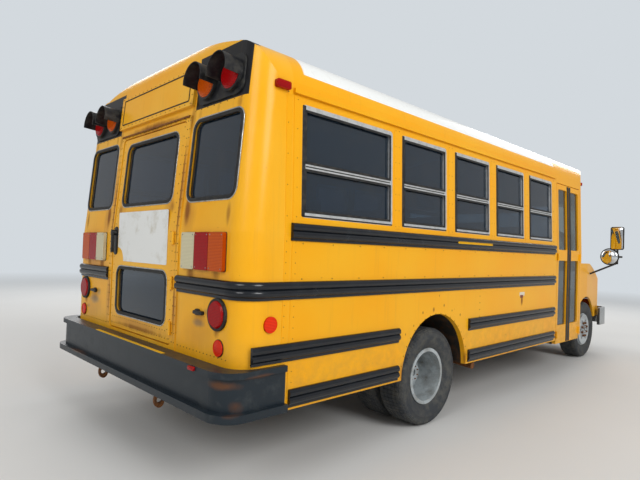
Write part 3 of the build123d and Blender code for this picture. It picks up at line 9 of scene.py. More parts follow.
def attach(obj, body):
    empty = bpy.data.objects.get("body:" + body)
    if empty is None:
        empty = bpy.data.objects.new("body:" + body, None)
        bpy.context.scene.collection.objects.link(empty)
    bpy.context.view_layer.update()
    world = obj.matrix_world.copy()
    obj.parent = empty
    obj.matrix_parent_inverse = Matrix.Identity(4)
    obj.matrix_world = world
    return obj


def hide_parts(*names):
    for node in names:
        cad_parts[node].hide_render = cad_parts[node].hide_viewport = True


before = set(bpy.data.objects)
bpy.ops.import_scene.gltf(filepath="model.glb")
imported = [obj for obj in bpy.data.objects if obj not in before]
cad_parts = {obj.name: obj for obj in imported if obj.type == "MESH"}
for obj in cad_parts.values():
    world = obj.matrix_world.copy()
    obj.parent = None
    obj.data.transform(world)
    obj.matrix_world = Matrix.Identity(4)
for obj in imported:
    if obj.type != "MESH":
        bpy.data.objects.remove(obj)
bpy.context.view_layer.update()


# Body panels: pressed steel sheet riveted to steel bows, sprayed and baked in yellow enamel. Years
# outdoors have chalked it a little, and rain carries dust and rust down it. Low down, dirt thrown
# by the wheels is mixed with painted shade, which makes the panels darker towards the bottom.
def colour(hex_code):
    # sRGB hex code to linear values
    parts = [int(hex_code[i:i + 2], 16) / 255 for i in (0, 2, 4)]
    linear = [p / 12.92 if p <= 0.04045 else ((p + 0.055) / 1.055) ** 2.4 for p in parts]
    return (*linear, 1.0)


def node(owner, kind, settings=(), links=()):
    # settings gives the node's own options by name and its inputs by name or number
    added = owner.node_tree.nodes.new("ShaderNode" + kind)
    for name, value in dict(settings).items():
        if isinstance(name, str) and name in added.bl_rna.properties:
            setattr(added, name, value)
        else:
            added.inputs[name].default_value = value
    for name, (source, output) in dict(links).items():
        owner.node_tree.links.new(source.outputs[output], added.inputs[name])
    return added


def new_finish(name):
    # An empty material, and the link that lets its patterns read the object's own coordinates
    material = bpy.data.materials.new(name)
    material.use_nodes = True
    material.node_tree.nodes.clear()
    return material, {"Vector": (node(material, "TexCoord"), "Object")}


def close_finish(material, settings, links):
    shader = node(material, "BsdfPrincipled", settings, links)
    node(material, "OutputMaterial", links={"Surface": (shader, 0)})
    return material


def dress(material, *names):
    for name in names:
        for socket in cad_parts[name].material_slots:
            socket.material = material


def stained(m, here, noise, marks, cover=None):
    # The share that stains cover. A mark is a centre, half sizes and a strength, and the noise
    # frays its edge.
    for centre, half, strength in marks:
        scale = [1 / h for h in half]
        local = node(m, "Mapping", {"Scale": scale,
                                    "Location": [-c * s for c, s in zip(centre, scale)]}, here)
        reach = node(m, "VectorMath", {"operation": "LENGTH"}, {0: (local, 0)})
        ragged = node(m, "Math", {"operation": "MULTIPLY_ADD", 1: 0.9},
                      {0: (noise, "Fac"), 2: (reach, 1)})
        share = node(m, "MapRange", {"From Min": 1.35, "From Max": 0.75, "To Max": strength},
                     {"Value": (ragged, 0)})
        if cover:
            share = node(m, "Math", {"operation": "MAXIMUM"}, {0: (cover, 0), 1: (share, 0)})
        cover = share
    return cover


def enamel(name, paint, faded, marks=(), areas=(), scrapes=(), stains=()):
    # Baked enamel: fairly glossy, slow fading over half a metre, rain runs 40 mm apart, splashed
    # dirt below the belt that is also painted shade, darker towards the bottom, and an orange
    # peel that is drawn at 3 mm, coarser than the real one.
    # marks: rusty runs. stains: where rusty water has dried in a thin brown film. scrapes: places
    # rubbed to dull primer. areas: colour, centre, half sizes of a part sprayed in another colour.
    m, here = new_finish(name)
    axes = node(m, "SeparateXYZ", links=here)
    fade = node(m, "TexNoise", {"Scale": 1.7, "Detail": 3.0}, here)
    fade_share = node(m, "MapRange", {"From Min": 0.35, "From Max": 0.7}, {"Value": (fade, "Fac")})
    skin = node(m, "Mix", {"data_type": "RGBA", 6: colour(paint), 7: colour(faded)},
                {0: (fade_share, 0)})
    for hex_code, centre, half in areas:
        scale = [1 / h for h in half]
        local = node(m, "Mapping", {"Scale": scale,
                                    "Location": [-c * s for c, s in zip(centre, scale)]}, here)
        size = node(m, "VectorMath", {"operation": "ABSOLUTE"}, {0: (local, 0)})
        parts = node(m, "SeparateXYZ", links={0: (size, 0)})
        flat = node(m, "Math", {"operation": "MAXIMUM"}, {0: (parts, "X"), 1: (parts, "Y")})
        far = node(m, "Math", {"operation": "MAXIMUM"}, {0: (flat, 0), 1: (parts, "Z")})
        inside = node(m, "MapRange", {"From Min": 1.003, "From Max": 0.997}, {"Value": (far, 0)})
        skin = node(m, "Mix", {"data_type": "RGBA", 7: colour(hex_code)},
                    {0: (inside, 0), 6: (skin, 2)})
    # Dust: faint runs down the panels, and dirt splashed up by the wheels, with painted shade in it
    # that makes the panels darker towards the bottom
    stretch = node(m, "Mapping", {"Scale": (25.0, 25.0, 1.2)}, here)
    runs = node(m, "TexNoise", {"Scale": 1.0, "Detail": 4.0, "Roughness": 0.65},
                {"Vector": (stretch, 0)})
    faint = node(m, "MapRange", {"From Min": 0.58, "From Max": 0.9, "To Max": 0.22},
                 {"Value": (runs, "Fac")})
    # Painted shade and dirt together: a brownish grey laid on most strongly near the bottom, below
    # 0.85 m
    low = node(m, "MapRange", {"From Min": 0.85, "From Max": 0.42, "To Max": 0.55},
               {"Value": (axes, "Z")})
    splash = node(m, "TexNoise", {"Scale": 14.0, "Detail": 6.0, "Roughness": 0.7}, here)
    spread = node(m, "MapRange", {"From Min": 0.35, "From Max": 0.75}, {"Value": (splash, "Fac")})
    splash_dirt_and_shade = node(m, "Math", {"operation": "MULTIPLY"}, {0: (low, 0), 1: (spread, 0)})
    dust_dirt_and_shade = node(m, "Math", {"operation": "MAXIMUM"}, {0: (splash_dirt_and_shade, 0), 1: (faint, 0)})
    skin = node(m, "Mix", {"data_type": "RGBA", 7: colour("8f7446")}, {0: (dust_dirt_and_shade, 0), 6: (skin, 2)})
    # Rust: specks of 3 to 6 mm where stones have chipped the enamel, and the runs below fittings
    chips = node(m, "TexVoronoi", {"Scale": 17.0}, here)
    chipped = node(m, "MapRange", {"From Min": 0.085, "From Max": 0.05},
                   {"Value": (chips, "Distance")})
    where = node(m, "MapRange", {"From Min": 0.56, "From Max": 0.62}, {"Value": (splash, "Fac")})
    specks = node(m, "Math", {"operation": "MULTIPLY"}, {0: (chipped, 0), 1: (where, 0)})
    rust = stained(m, here, runs, marks, specks)
    for cover, hex_code in ((stained(m, here, runs, stains), "b0701c"),
                            (stained(m, here, splash, scrapes), "8b7b5c"), (rust, "7c451c")):
        if cover:
            skin = node(m, "Mix", {"data_type": "RGBA", 7: colour(hex_code)},
                        {0: (cover, 0), 6: (skin, 2)})
    dull = node(m, "Math", {"operation": "MAXIMUM"}, {0: (dust_dirt_and_shade, 0), 1: (rust, 0)})
    gloss = node(m, "MapRange", {"To Min": 0.30, "To Max": 0.75}, {"Value": (dull, 0)})
    hollow = node(m, "TexNoise", {"Scale": 2.6, "Detail": 1.0}, here)
    panel = node(m, "Bump", {"Strength": 0.35, "Distance": 0.006}, {"Height": (hollow, "Fac")})
    peel = node(m, "TexNoise", {"Scale": 330.0, "Detail": 1.0}, here)
    grain = node(m, "Bump", {"Strength": 0.06, "Distance": 0.0005},
                 {"Height": (peel, "Fac"), "Normal": (panel, 0)})
    return close_finish(m, {"Specular IOR Level": 0.2, "Coat Weight": 0.06, "Coat Roughness": 0.12},
                        {"Base Color": (skin, 2), "Roughness": (gloss, 0), "Normal": (grain, 0)})


bus_yellow = "f0a606"
bus_faded = "efae1a"
panel_enamel = enamel("yellow_baked_enamel", bus_yellow, bus_faded)
dress(panel_enamel, "cab_shell", "fenders", "hood", "front_cap", "driver_door", "entry_leaf_rear",
      "entry_leaf_front", "side_wall_left")


# Rear shell and emergency door: the same enamel, more weathered. Rusty water has run from the
# window corners, the lamps and the door's seams. A field each side of the sign is sprayed black.
rear_x = -3.2995  # the rear wall's outer face


def on_rear(x, deep, rows, sides=(-1, 1)):
    # Marks on the rear wall from rows of across, height, half width, half height and strength
    return [((x, side * across, height), (deep, wide, tall), strength)
            for side in sides for across, height, wide, tall, strength in rows]


rear_marks = on_rear(rear_x + 0.01, 0.08, (
    (0.60, 1.53, 0.05, 0.11, 0.85), (1.04, 1.50, 0.03, 0.09, 0.60), (0.545, 2.12, 0.05, 0.14, 0.85),
    (0.68, 1.15, 0.06, 0.07, 0.75), (0.95, 1.16, 0.05, 0.05, 0.65), (0.80, 0.90, 0.10, 0.07, 0.35),
    (0.50, 1.60, 0.015, 0.55, 0.80), (0.50, 0.95, 0.015, 0.28, 0.80),
    (0.98, 0.85, 0.04, 0.05, 0.60), (0.62, 2.125, 0.035, 0.07, 0.75),
    (1.03, 2.125, 0.05, 0.06, 0.70), (0.82, 2.13, 0.03, 0.05, 0.55)))
rear_marks += on_rear(rear_x + 0.03, 0.10, [(0.0, 2.14, 0.52, 0.040, 0.80)], (1,))
rear_marks += on_rear(rear_x, 0.05, [(0.0, 0.735, 0.48, 0.022, 0.65)], (1,))
rear_marks += on_rear(rear_x, 0.06, [(0.40, 1.56, 0.05, 0.05, 0.55)])
rear_stains = on_rear(rear_x, 0.06, (
    (0.525, 1.80, 0.055, 0.48, 0.70), (0.84, 2.13, 0.30, 0.12, 0.60),
    (0.62, 1.50, 0.10, 0.16, 0.50), (0.82, 1.13, 0.26, 0.07, 0.50), (0.52, 0.90, 0.06, 0.25, 0.55),
    (0.36, 1.60, 0.09, 0.10, 0.45), (0.80, 0.83, 0.22, 0.14, 0.30)))
rear_stains += on_rear(rear_x, 0.06, [(0.0, 0.76, 0.50, 0.06, 0.55)], (1,))
rear_stains += on_rear(rear_x, 0.10, [(0.0, 2.10, 0.50, 0.10, 0.50)], (1,))
rear_scrapes = on_rear(rear_x, 0.05, (
    (0.80, 0.865, 0.12, 0.045, 0.8), (0.72, 0.93, 0.05, 0.04, 0.6), (-0.79, 0.875, 0.09, 0.03, 0.7),
    (-0.87, 0.945, 0.05, 0.025, 0.5), (0.93, 0.80, 0.05, 0.02, 0.5)), (1,))
black_fields = [("1a1a1c", (rear_x + 0.04, side * 0.830, 2.320), (0.10, 0.270, 0.165))
                for side in (-1, 1)]
dress(enamel("yellow_enamel_rear_weathered", "f0aa14", "f0b634", rear_marks, black_fields,
             rear_scrapes, rear_stains), "rear_shell", "emergency_door")


# Right side wall: stone chips and bare screws over the rear arch, rust where the seam meets the
# arch, and a rubbed patch by the entry door where the enamel has flaked to primer.
rear_axle_x, arch_z, wall_y = -1.4795, 0.40, 1.219


def round_arch(turn, radius, y):
    # A spot round the rear wheel arch, from its turn in degrees
    return (rear_axle_x + radius * math.cos(math.radians(turn)), y,
            arch_z + radius * math.sin(math.radians(turn)))


side_marks = [(round_arch(turn, reach, -wall_y), (size, 0.03, size * 1.3), 0.75)
              for turn, reach, size in ((96, 0.50, 0.020), (80, 0.53, 0.012), (66, 0.52, 0.010),
                                        (112, 0.52, 0.011), (128, 0.50, 0.010), (88, 0.60, 0.010),
                                        (52, 0.55, 0.012), (140, 0.53, 0.008))]
side_marks += [((0.02, -1.22, 0.900), (0.030, 0.03, 0.070), 0.95),
               ((-1.04, -1.22, 0.47), (0.03, 0.03, 0.08), 0.6),
               ((-1.915, -1.22, 0.47), (0.03, 0.03, 0.10), 0.6)]
primer = [("d8cdb8", (0.02, -1.22, 0.962), (0.056, 0.03, 0.019)),
          ("7a2f22", (0.012, -1.22, 0.938), (0.034, 0.03, 0.014))]
dress(enamel("yellow_enamel_right_side", bus_yellow, bus_faded, side_marks, primer),
      "side_wall_right")

# Roof: steel sheets over bows. The middle is painted white to throw off heat, and the rear end
# and the edges over the windows stay yellow.
white_area = [("eceeec", (rear_x + 2.50, 0.0, 2.60), (2.10, 2.0, 0.268))]
dress(enamel("white_roof_over_yellow_enamel", bus_yellow, bus_faded, areas=white_area), "roof")


# Rivets and screws: domed steel heads along every seam, under the same enamel. Each is set on the
# panel that it holds.
def weathered(name, base, worn, spots_mm, grain_mm, rough, share=(0.45, 0.65), metallic=0.0,
              shine=0.3, deep_mm=0.3, marks=()):
    # A worn finish: the base colour with worn patches of a real size, and a grain of a real size
    # that breaks the gloss. A grain finer than the render can show is drawn as coarse as it needs.
    # marks are places where the finish has gone and the steel has rusted.
    m, here = new_finish(name)
    spots = node(m, "TexNoise", {"Scale": 1000 / spots_mm, "Detail": 5.0, "Roughness": 0.65}, here)
    patch = node(m, "MapRange", {"From Min": share[0], "From Max": share[1]},
                 {"Value": (spots, "Fac")})
    skin = node(m, "Mix", {"data_type": "RGBA", 6: colour(base), 7: colour(worn)}, {0: (patch, 0)})
    if marks:
        bare = stained(m, here, spots, marks)
        skin = node(m, "Mix", {"data_type": "RGBA", 7: colour("5e3a20")},
                    {0: (bare, 0), 6: (skin, 2)})
    gloss = node(m, "MapRange", {"To Min": rough[0], "To Max": rough[1]}, {"Value": (patch, 0)})
    grain = node(m, "TexNoise", {"Scale": 1000 / grain_mm, "Detail": 3.0}, here)
    bump = node(m, "Bump", {"Strength": 0.5, "Distance": deep_mm / 1000},
                {"Height": (grain, "Fac")})
    return close_finish(m, {"Metallic": metallic, "Specular IOR Level": shine},
                        {"Base Color": (skin, 2), "Roughness": (gloss, 0), "Normal": (bump, 0)})


def mesh_data(name, mesh):
    data = bpy.data.meshes.new(name)
    mesh.to_mesh(data)
    mesh.free()
    return data


def new_object(name, data):
    added = bpy.data.objects.new(name, data)
    bpy.context.scene.collection.objects.link(added)
    return added


def add_piece(name, mesh, material, body, smooth=35):
    # Makes an object of a finished bmesh, smooth but for its sharp corners, on the body it rides on
    bmesh.ops.recalc_face_normals(mesh, faces=mesh.faces)
    data = mesh_data(name, mesh)
    data.shade_smooth()
    data.set_sharp_from_angle(angle=math.radians(smooth))
    data.materials.append(material)
    piece = new_object(name, data)
    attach(piece, body)
    return piece


def facing(spot, normal):
    # A seat at a spot: local Z along the outward normal, and local Y upwards
    up = Vector((0, 0, 1)) if abs(normal.z) < 0.9 else Vector((1, 0, 0))
    across = up.cross(normal).normalized()
    turn = Matrix((across, normal.cross(across), normal)).transposed().to_4x4()
    return Matrix.Translation(spot) @ turn


panel_trees = {}


def land(node_name, start, direction):
    # The seat where a straight line first meets a CAD panel, or None where it misses it
    if node_name not in panel_trees:
        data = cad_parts[node_name].data
        panel_trees[node_name] = BVHTree.FromPolygons([v.co for v in data.vertices],
                                                      [p.vertices for p in data.polygons])
    spot, normal = panel_trees[node_name].ray_cast(Vector(start), Vector(direction))[:2]
    if spot is None:
        return None
    return facing(spot, -normal if normal.dot(Vector(direction)) > 0 else normal)


def heads(name, rows, radius, material, body):
    # rows: node, direction, first and last point outside the panel, pitch
    mesh = bmesh.new()
    for node_name, direction, first, last, pitch in rows:
        first, last = Vector(first), Vector(last)
        count = max(1, round((last - first).length / pitch))
        for i in range(count + 1):
            seat = land(node_name, first.lerp(last, i / count), direction)
            if seat:
                bmesh.ops.create_cone(mesh, cap_ends=True, segments=8, radius1=radius,
                                      radius2=radius * 0.5, depth=radius * 0.7,
                                      matrix=seat @ Matrix.Translation((0, 0, radius * 0.3)))
    add_piece(name, mesh, material, body, 60)


behind, beside, ahead = -3.6, 1.4, 3.6  # where the lines that meet the panels start
forwards, backwards = (1, 0, 0), (-1, 0, 0)


def from_behind(node_name, lines):
    # Rows of heads on a rear panel, each from the y and z of both ends and a pitch
    return [(node_name, forwards, (behind, y1, z1), (behind, y2, z2), pitch)
            for y1, z1, y2, z2, pitch in lines]


belt_z, eave_z = 1.50, 2.17  # foot and top of the posts between the windows
rivet_enamel = weathered("rusty_rivets_under_worn_enamel", "a06f1d", "4c3216", 9.0, 2.0, (0.4, 0.7),
                         (0.35, 0.6))
for side, label in ((-1, "right"), (1, "left")):
    wall, inward, outside = "side_wall_" + label, (0, -side, 0), side * beside
    # Each column: panel, distance from the rear wall, foot, top and pitch
    columns = [(wall, 0.345, 0.45, 1.36, 0.06), (wall, 0.345, belt_z, eave_z, 0.165),
               (wall, 0.05, 0.8, 2.1, 0.12)]
    columns += [(wall, station, belt_z, eave_z, 0.11)
                for station in (1.262, 1.300, 4.095, 1.963, 2.004, 2.674, 2.715, 3.385, 3.426)]
    columns += [(wall, 2.48, 0.80, 1.03, 0.055), ("rear_shell", 0.275, 0.47, 1.36, 0.06),
                ("rear_shell", 0.275, belt_z, 2.20, 0.165)]
    rows = [(panel, inward, (rear_x + station, outside, low), (rear_x + station, outside, high),
             pitch) for panel, station, low, high, pitch in columns]
    rows += [(wall, inward, (rear_x + 0.40, outside, z), (rear_x + 4.10, outside, z), 0.24)
             for z in (1.148, 1.350)]
    rows += [(wall, inward, round_arch(turn, 0.463, outside), round_arch(turn, 0.463, outside), 1.0)
             for turn in range(12, 170, 9)]
    heads("side_rivets_" + label, rows, 0.0045, rivet_enamel, "chassis")
lines = [(side * y1, z1, side * y2, z2, pitch) for side in (-1, 1) for y1, z1, y2, z2, pitch in (
    (0.492, 0.72, 0.492, 2.10, 0.055), (0.52, 0.72, 0.52, 2.10, 0.055),
    (0.56, 0.712, 1.08, 0.712, 0.036), (0.56, 2.15, 1.05, 2.15, 0.07),
    (0.535, 2.20, 0.535, 2.43, 0.055))]
lines += [(-0.52, z, 0.52, z, 0.065) for z in (2.115, 2.205, 2.425)]
heads("rear_rivets", from_behind("rear_shell", lines), 0.0042, rivet_enamel, "chassis")
lines = [(side * 0.447, 0.73, side * 0.447, 2.07, 0.06) for side in (-1, 1)]
lines += [(-0.43, z, 0.43, z, 0.036) for z in (0.728, 0.775)]
heads("emergency_door_rivets", from_behind("emergency_door", lines), 0.0038, rivet_enamel,
      "emergency_door")
white_rivets = weathered("white_enamel_on_rivets", "dcdedb", "a9a79c", 12.0, 2.0, (0.4, 0.6))
rows = [("roof", (0, 0, -1), (rear_x + station, -1.02, 3.0), (rear_x + station, 1.02, 3.0), 0.085)
        for station in (0.33, 1.281, 1.32, 1.983, 2.022, 2.694, 2.733, 3.405, 3.444, 4.09)]
heads("roof_rivets", rows, 0.0045, white_rivets, "chassis")

# Rub rails: rolled steel ribs in gloss black enamel, screwed along the body. Dust lies in their
# grooves, and a short yellow strip is stuck in the groove of the top one, behind the windows.
dress(weathered("black_enamel_rub_rails", "10141a", "1f2429", 120.0, 6.0, (0.17, 0.36), (0.5, 0.8),
                shine=0.45, deep_mm=0.03), "rub_rails")


def join_in(mesh, own):
    # Adds one finished bmesh to another
    bmesh.ops.recalc_face_normals(own, faces=own.faces)
    data = mesh_data("joined", own)
    mesh.from_mesh(data)
    bpy.data.meshes.remove(data)


def thicken(mesh, offset):
    # Gives an open sheet its thickness, and returns the vertices of its outer side
    skin = bmesh.ops.extrude_face_region(mesh, geom=mesh.faces[:], use_keep_orig=True)["geom"]
    outer = [v for v in skin if isinstance(v, bmesh.types.BMVert)]
    bmesh.ops.translate(mesh, vec=offset, verts=outer)
    return outer


def laid(mesh, node_name, corner, across, up, steps, direction, thick):
    # Adds a thin strip that lies on a CAD panel and follows its bends
    own = bmesh.new()
    bmesh.ops.create_grid(own, x_segments=steps[0], y_segments=steps[1], size=0.5)
    for v in own.verts:
        start = Vector(corner) + Vector(across) * (v.co.x + 0.5) + Vector(up) * (v.co.y + 0.5)
        v.co = land(node_name, start, direction).translation
    thicken(own, Vector(direction) * -thick)
    join_in(mesh, own)


strip_yellow = weathered("yellow_vinyl_strip", "e3b21c", "a98434", 20.0, 2.0, (0.4, 0.6),
                         (0.55, 0.8))
strips = bmesh.new()
laid(strips, "rub_rails", (rear_x + 2.07, -beside, 1.411), (0.58, 0, 0), (0, 0, 0.018), (6, 2),
     (0, 1, 0), 0.002)
add_piece("rail_strip", strips, strip_yellow, "chassis")

# Seam laps and post covers: folded yellow strips over the joints between body panels and over the
# posts between the windows, held by the rows of rivets beside their edges. They stop at a bend.
bend_low, bend_high = 1.398, 1.402
for side, label in ((-1, "right"), (1, "left")):
    laps = bmesh.new()
    wall = "side_wall_" + label
    columns = [("rear_shell", 0.262, 0.040, 0.45, 2.19), (wall, 0.318, 0.042, 0.45, 2.19)]
    columns += [(wall, station, 0.072, 1.482, 2.172) for station in (1.245, 1.948, 2.659, 3.370)]
    for panel, station, width, low, high in columns:
        for first, last in ((low, min(high, bend_low)), (max(low, bend_high), high)):
            if last > first:
                laid(laps, panel, (rear_x + station, side * beside, first), (width, 0, 0),
                     (0, 0, last - first), (1, 2), (0, -side, 0), 0.0018)
    add_piece("panel_laps_" + label, laps, panel_enamel, "chassis")

# Side windows: extruded aluminium frames, satin from weather, each with two sashes, a bright
# bar where the upper one meets the lower, and a latch at each end of that bar.
dress(weathered("satin_extruded_aluminium", "d4d6d6", "bcbebc", 60.0, 1.5, (0.32, 0.45),
                metallic=0.6, deep_mm=0.05), "window_frames")


def sheet_glass(name, tint, clear, rough):
    # Float glass: a dark tint held in the sheet, mirror smooth, with a film of dust that dulls it
    m, here = new_finish(name)
    film = node(m, "TexNoise", {"Scale": 6.0, "Detail": 6.0, "Roughness": 0.7}, here)
    gloss = node(m, "MapRange", {"From Min": 0.45, "From Max": 0.8, "To Min": rough,
                                 "To Max": rough + 0.07}, {"Value": (film, "Fac")})
    dust = node(m, "MapRange", {"From Min": 0.5, "From Max": 0.9, "To Max": 0.25},
                {"Value": (film, "Fac")})
    skin = node(m, "Mix", {"data_type": "RGBA", 6: colour(tint), 7: colour("8b8576")},
                {0: (dust, 0)})
    wave = node(m, "TexNoise", {"Scale": 3.0, "Detail": 1.0}, here)
    bump = node(m, "Bump", {"Strength": 0.05, "Distance": 0.002}, {"Height": (wave, "Fac")})
    return close_finish(m, {"Transmission Weight": clear, "IOR": 1.5, "Specular IOR Level": 0.6},
                        {"Base Color": (skin, 2), "Roughness": (gloss, 0), "Normal": (bump, 0)})


dress(sheet_glass("dark_tinted_safety_glass", "42566a", 0.80, 0.02), "body_glass",
      "emergency_glass")
dress(sheet_glass("clear_safety_glass", "c3cfcc", 0.92, 0.01), "cab_glass", "driver_glass")


# Window rubbers: black rubber channel round each fixed rear pane, with a bright bead pushed into
# it to spread it on the glass.
lean_z, rear_lean, side_lean = 1.4, 0.08, 0.035  # above this height the walls lean in


def wall_seat(across, height):
    # A seat on the rear wall, which leans in above a bend
    lean = rear_lean if height > lean_z else 0.0
    spot = (rear_x + max(0.0, height - lean_z) * rear_lean, across, height)
    return facing(spot, Vector((-1, 0, lean)).normalized())


def shifted(seat, x=0.0, y=0.0, z=0.0):
    return seat @ Matrix.Translation((x, y, z))


def plate(mesh, seat, half, corner, thick, band=0.0, lift=0.0, round_sides=0, edge=0.0):
    # A flat plate, or a ring of width band, with round corners or wholly round, standing on a seat
    own = bmesh.new()
    if round_sides:
        bmesh.ops.create_circle(own, cap_ends=True, radius=half[0], segments=round_sides)
    else:
        bmesh.ops.create_grid(own, x_segments=1, y_segments=1, size=1.0)
        bmesh.ops.scale(own, vec=(half[0], half[1], 1.0), verts=own.verts)
        bmesh.ops.bevel(own, geom=own.verts[:], offset=corner, segments=6, profile=0.5,
                        affect="VERTICES", material=-1)
    if band:
        rim = bmesh.ops.inset_region(own, faces=own.faces[:], thickness=band, use_boundary=True,
                                     use_even_offset=True)["faces"]
        bmesh.ops.delete(own, geom=[f for f in own.faces if f not in rim], context="FACES")
    top = thicken(own, (0, 0, thick))
    if edge:
        rims = [e for e in own.edges if e.verts[0] in top and e.verts[1] in top
                and len({round(f.normal.z) for f in e.link_faces}) > 1]
        bmesh.ops.bevel(own, geom=rims, offset=edge, segments=2, profile=0.5, affect="EDGES",
                        material=-1)
    bmesh.ops.transform(own, matrix=shifted(seat, z=lift), verts=own.verts)
    join_in(mesh, own)


rubber = weathered("black_window_rubber", "1c1c1d", "3a3834", 30.0, 2.0, (0.5, 0.75))
bead_metal = weathered("bright_bead_strip", "c4c6c4", "8c8a82", 25.0, 1.5, (0.25, 0.5),
                       metallic=0.8)
panes = [("chassis", side * 0.828, 1.835, 0.2525, 0.245) for side in (-1, 1)]
panes += [("emergency_door", 0.0, 1.82, 0.38, 0.225), ("emergency_door", 0.0, 0.975, 0.38, 0.165)]
for body in ("chassis", "emergency_door"):
    seals, beads = bmesh.new(), bmesh.new()
    for owner, across, height, half_across, half_up in panes:
        if owner == body:
            seat = wall_seat(across, height)
            plate(seals, seat, (half_across + 0.010, half_up + 0.010), 0.068, 0.006, band=0.022,
                  lift=-0.001, edge=0.002)
            plate(beads, seat, (half_across + 0.017, half_up + 0.017), 0.074, 0.004, band=0.0075,
                  lift=-0.001, edge=0.001)
    add_piece("rear_window_seals_" + body, seals, rubber, body)
    add_piece("rear_window_beads_" + body, beads, bead_metal, body)


# Glazing rubbers: black strips that hold each side pane in its sash, and a thin one in the slot
# between the two sash bars. The broad black strip down each window's rear edge is painted shade:
# a dark strip laid where the frame lies in shadow. A narrow black strip runs along each foot.
def side_seat(side, x, height):
    # A seat on a side wall, which leans in above the same bend
    lean = side_lean if height > lean_z else 0.0
    spot = (x, side * (wall_y - max(0.0, height - lean_z) * side_lean), height)
    return facing(spot, Vector((0, side, lean)).normalized())


windows = [(0.382, 0.844)] + [(1.336 + 0.711 * i, 0.584) for i in range(4)]  # start and width
sashes = ((1.530, 1.780), (1.812, 2.124))  # foot and top of the lower and the upper pane
for side, label in ((-1, "right"), (1, "left")):
    rubbers_and_shade_strips = bmesh.new()
    for start, width in windows:
        middle = rear_x + start + width / 2
        for low, high in sashes:
            half = (width / 2 - 0.019, (high - low) / 2 + 0.002)
            plate(rubbers_and_shade_strips, side_seat(side, middle, (low + high) / 2), half, 0.006, 0.0035,
                  band=0.015, lift=-0.001)
        # Painted shade: a broad black strip down the rear edge of the window frame, where it is in
        # shadow
        plate(rubbers_and_shade_strips, side_seat(side, rear_x + start + 0.013, 1.827), (0.0125, 0.322), 0.004,
              0.0030, lift=-0.001)
        plate(rubbers_and_shade_strips, side_seat(side, middle, 1.507), (width / 2 - 0.006, 0.0045), 0.002, 0.0030,
              lift=-0.001)
        laid(rubbers_and_shade_strips, "window_frames", (rear_x + start + 0.03, side * beside, 1.7925),
             (width - 0.06, 0, 0), (0, 0, 0.007), (1, 1), (0, -side, 0), 0.0006)
    add_piece("side_glazing_rubbers_" + label, rubbers_and_shade_strips, rubber, "chassis")

# Emergency door's warning plate: a blank sheet in white reflective film, riveted on, with one
# corner cut away round the handle. The film is dulled and stained along its edges.
plate_white = weathered("white_reflective_sheet", "e4e5e2", "b8b09c", 160.0, 3.0, (0.35, 0.6),
                        (0.52, 0.8))
half_wide, half_high = 0.380, 0.178
sheet = bmesh.new()
bmesh.ops.create_grid(sheet, x_segments=1, y_segments=1, size=1.0)
bmesh.ops.scale(sheet, vec=(half_wide, half_high, 1.0), verts=sheet.verts)
others = [v for v in sheet.verts if v.co.x > 0 or v.co.y > 0]
bmesh.ops.bevel(sheet, geom=others, offset=0.012, segments=4, profile=0.5, affect="VERTICES",
                material=-1)
notch = [v for v in sheet.verts if v.co.x < 0.001 - half_wide and v.co.y < 0.001 - half_high]
bmesh.ops.bevel(sheet, geom=notch, offset=0.10, segments=8, profile=0.08, affect="VERTICES",
                material=-1)
thicken(sheet, (0, 0, 0.0015))
bmesh.ops.transform(sheet, matrix=shifted(wall_seat(0.0, 1.365), z=0.0005), verts=sheet.verts)
add_piece("emergency_door_blank_plate", sheet, plate_white, "emergency_door")

# Emergency door's handle: a black cast lever on a round boss, over a dished backing plate that is
# screwed to the door.
handle_black = weathered("black_cast_handle", "17181a", "45403a", 12.0, 1.5, (0.35, 0.6),
                         (0.5, 0.7))
lever = bmesh.new()
plate(lever, wall_seat(0.425, 1.335), (0.036, 0.105), 0.034, 0.005, edge=0.002)
plate(lever, wall_seat(0.425, 1.395), (0.0215, 0.0215), 0.0, 0.0375, round_sides=24, edge=0.003)
plate(lever, shifted(wall_seat(0.425, 1.3325), z=0.0205), (0.0125, 0.0895), 0.011, 0.0175,
      edge=0.004)
add_piece("emergency_door_lever", lever, handle_black, "emergency_door")

# Sign box over the door: a blank yellow face, held in a thin black rubber frame
sign_edge = bmesh.new()
plate(sign_edge, shifted(wall_seat(0.0, 2.315), z=0.024), (0.505, 0.098), 0.012, 0.003, band=0.008,
      edge=0.001)
add_piece("rear_sign_frame", sign_edge, rubber, "chassis")

# Drip moulding over the door: a small folded steel gutter welded to the rear wall, its paint
# mostly gone to rust
gutter = bmesh.new()
laid(gutter, "rear_shell", (behind, -0.505, 2.122), (0, 1.01, 0), (0, 0, 0.013), (8, 1), forwards,
     0.011)
gutter_rust = weathered("rusty_yellow_gutter", "8a5a26", "5b351b", 22.0, 3.0, (0.6, 0.85))
add_piece("rear_drip_moulding", gutter, gutter_rust, "chassis")


# Lamps: moulded acrylic lenses in red, amber and clear, unlit, with ribs pressed in their backs.
# They are dusty outside, and each big round one sits in a black rubber ring.
def lens(name, dye, deep, clear):
    m, here = new_finish(name)
    ribs = node(m, "TexWave", {"bands_direction": "Z", "Scale": 39.0}, here)
    cross = node(m, "TexWave", {"bands_direction": "Y", "Scale": 39.0}, here)
    prisms = node(m, "Math", {"operation": "MULTIPLY"}, {0: (ribs, "Fac"), 1: (cross, "Fac")})
    skin = node(m, "Mix", {"data_type": "RGBA", 6: colour(deep), 7: colour(dye)}, {0: (prisms, 0)})
    film = node(m, "TexNoise", {"Scale": 12.0, "Detail": 5.0}, here)
    gloss = node(m, "MapRange", {"To Min": 0.12, "To Max": 0.32}, {"Value": (film, "Fac")})
    bump = node(m, "Bump", {"Strength": 0.25, "Distance": 0.001}, {"Height": (prisms, 0)})
    return close_finish(m, {"IOR": 1.49, "Specular IOR Level": 0.15, "Transmission Weight": clear},
                        {"Base Color": (skin, 2), "Roughness": (gloss, 0), "Normal": (bump, 0)})


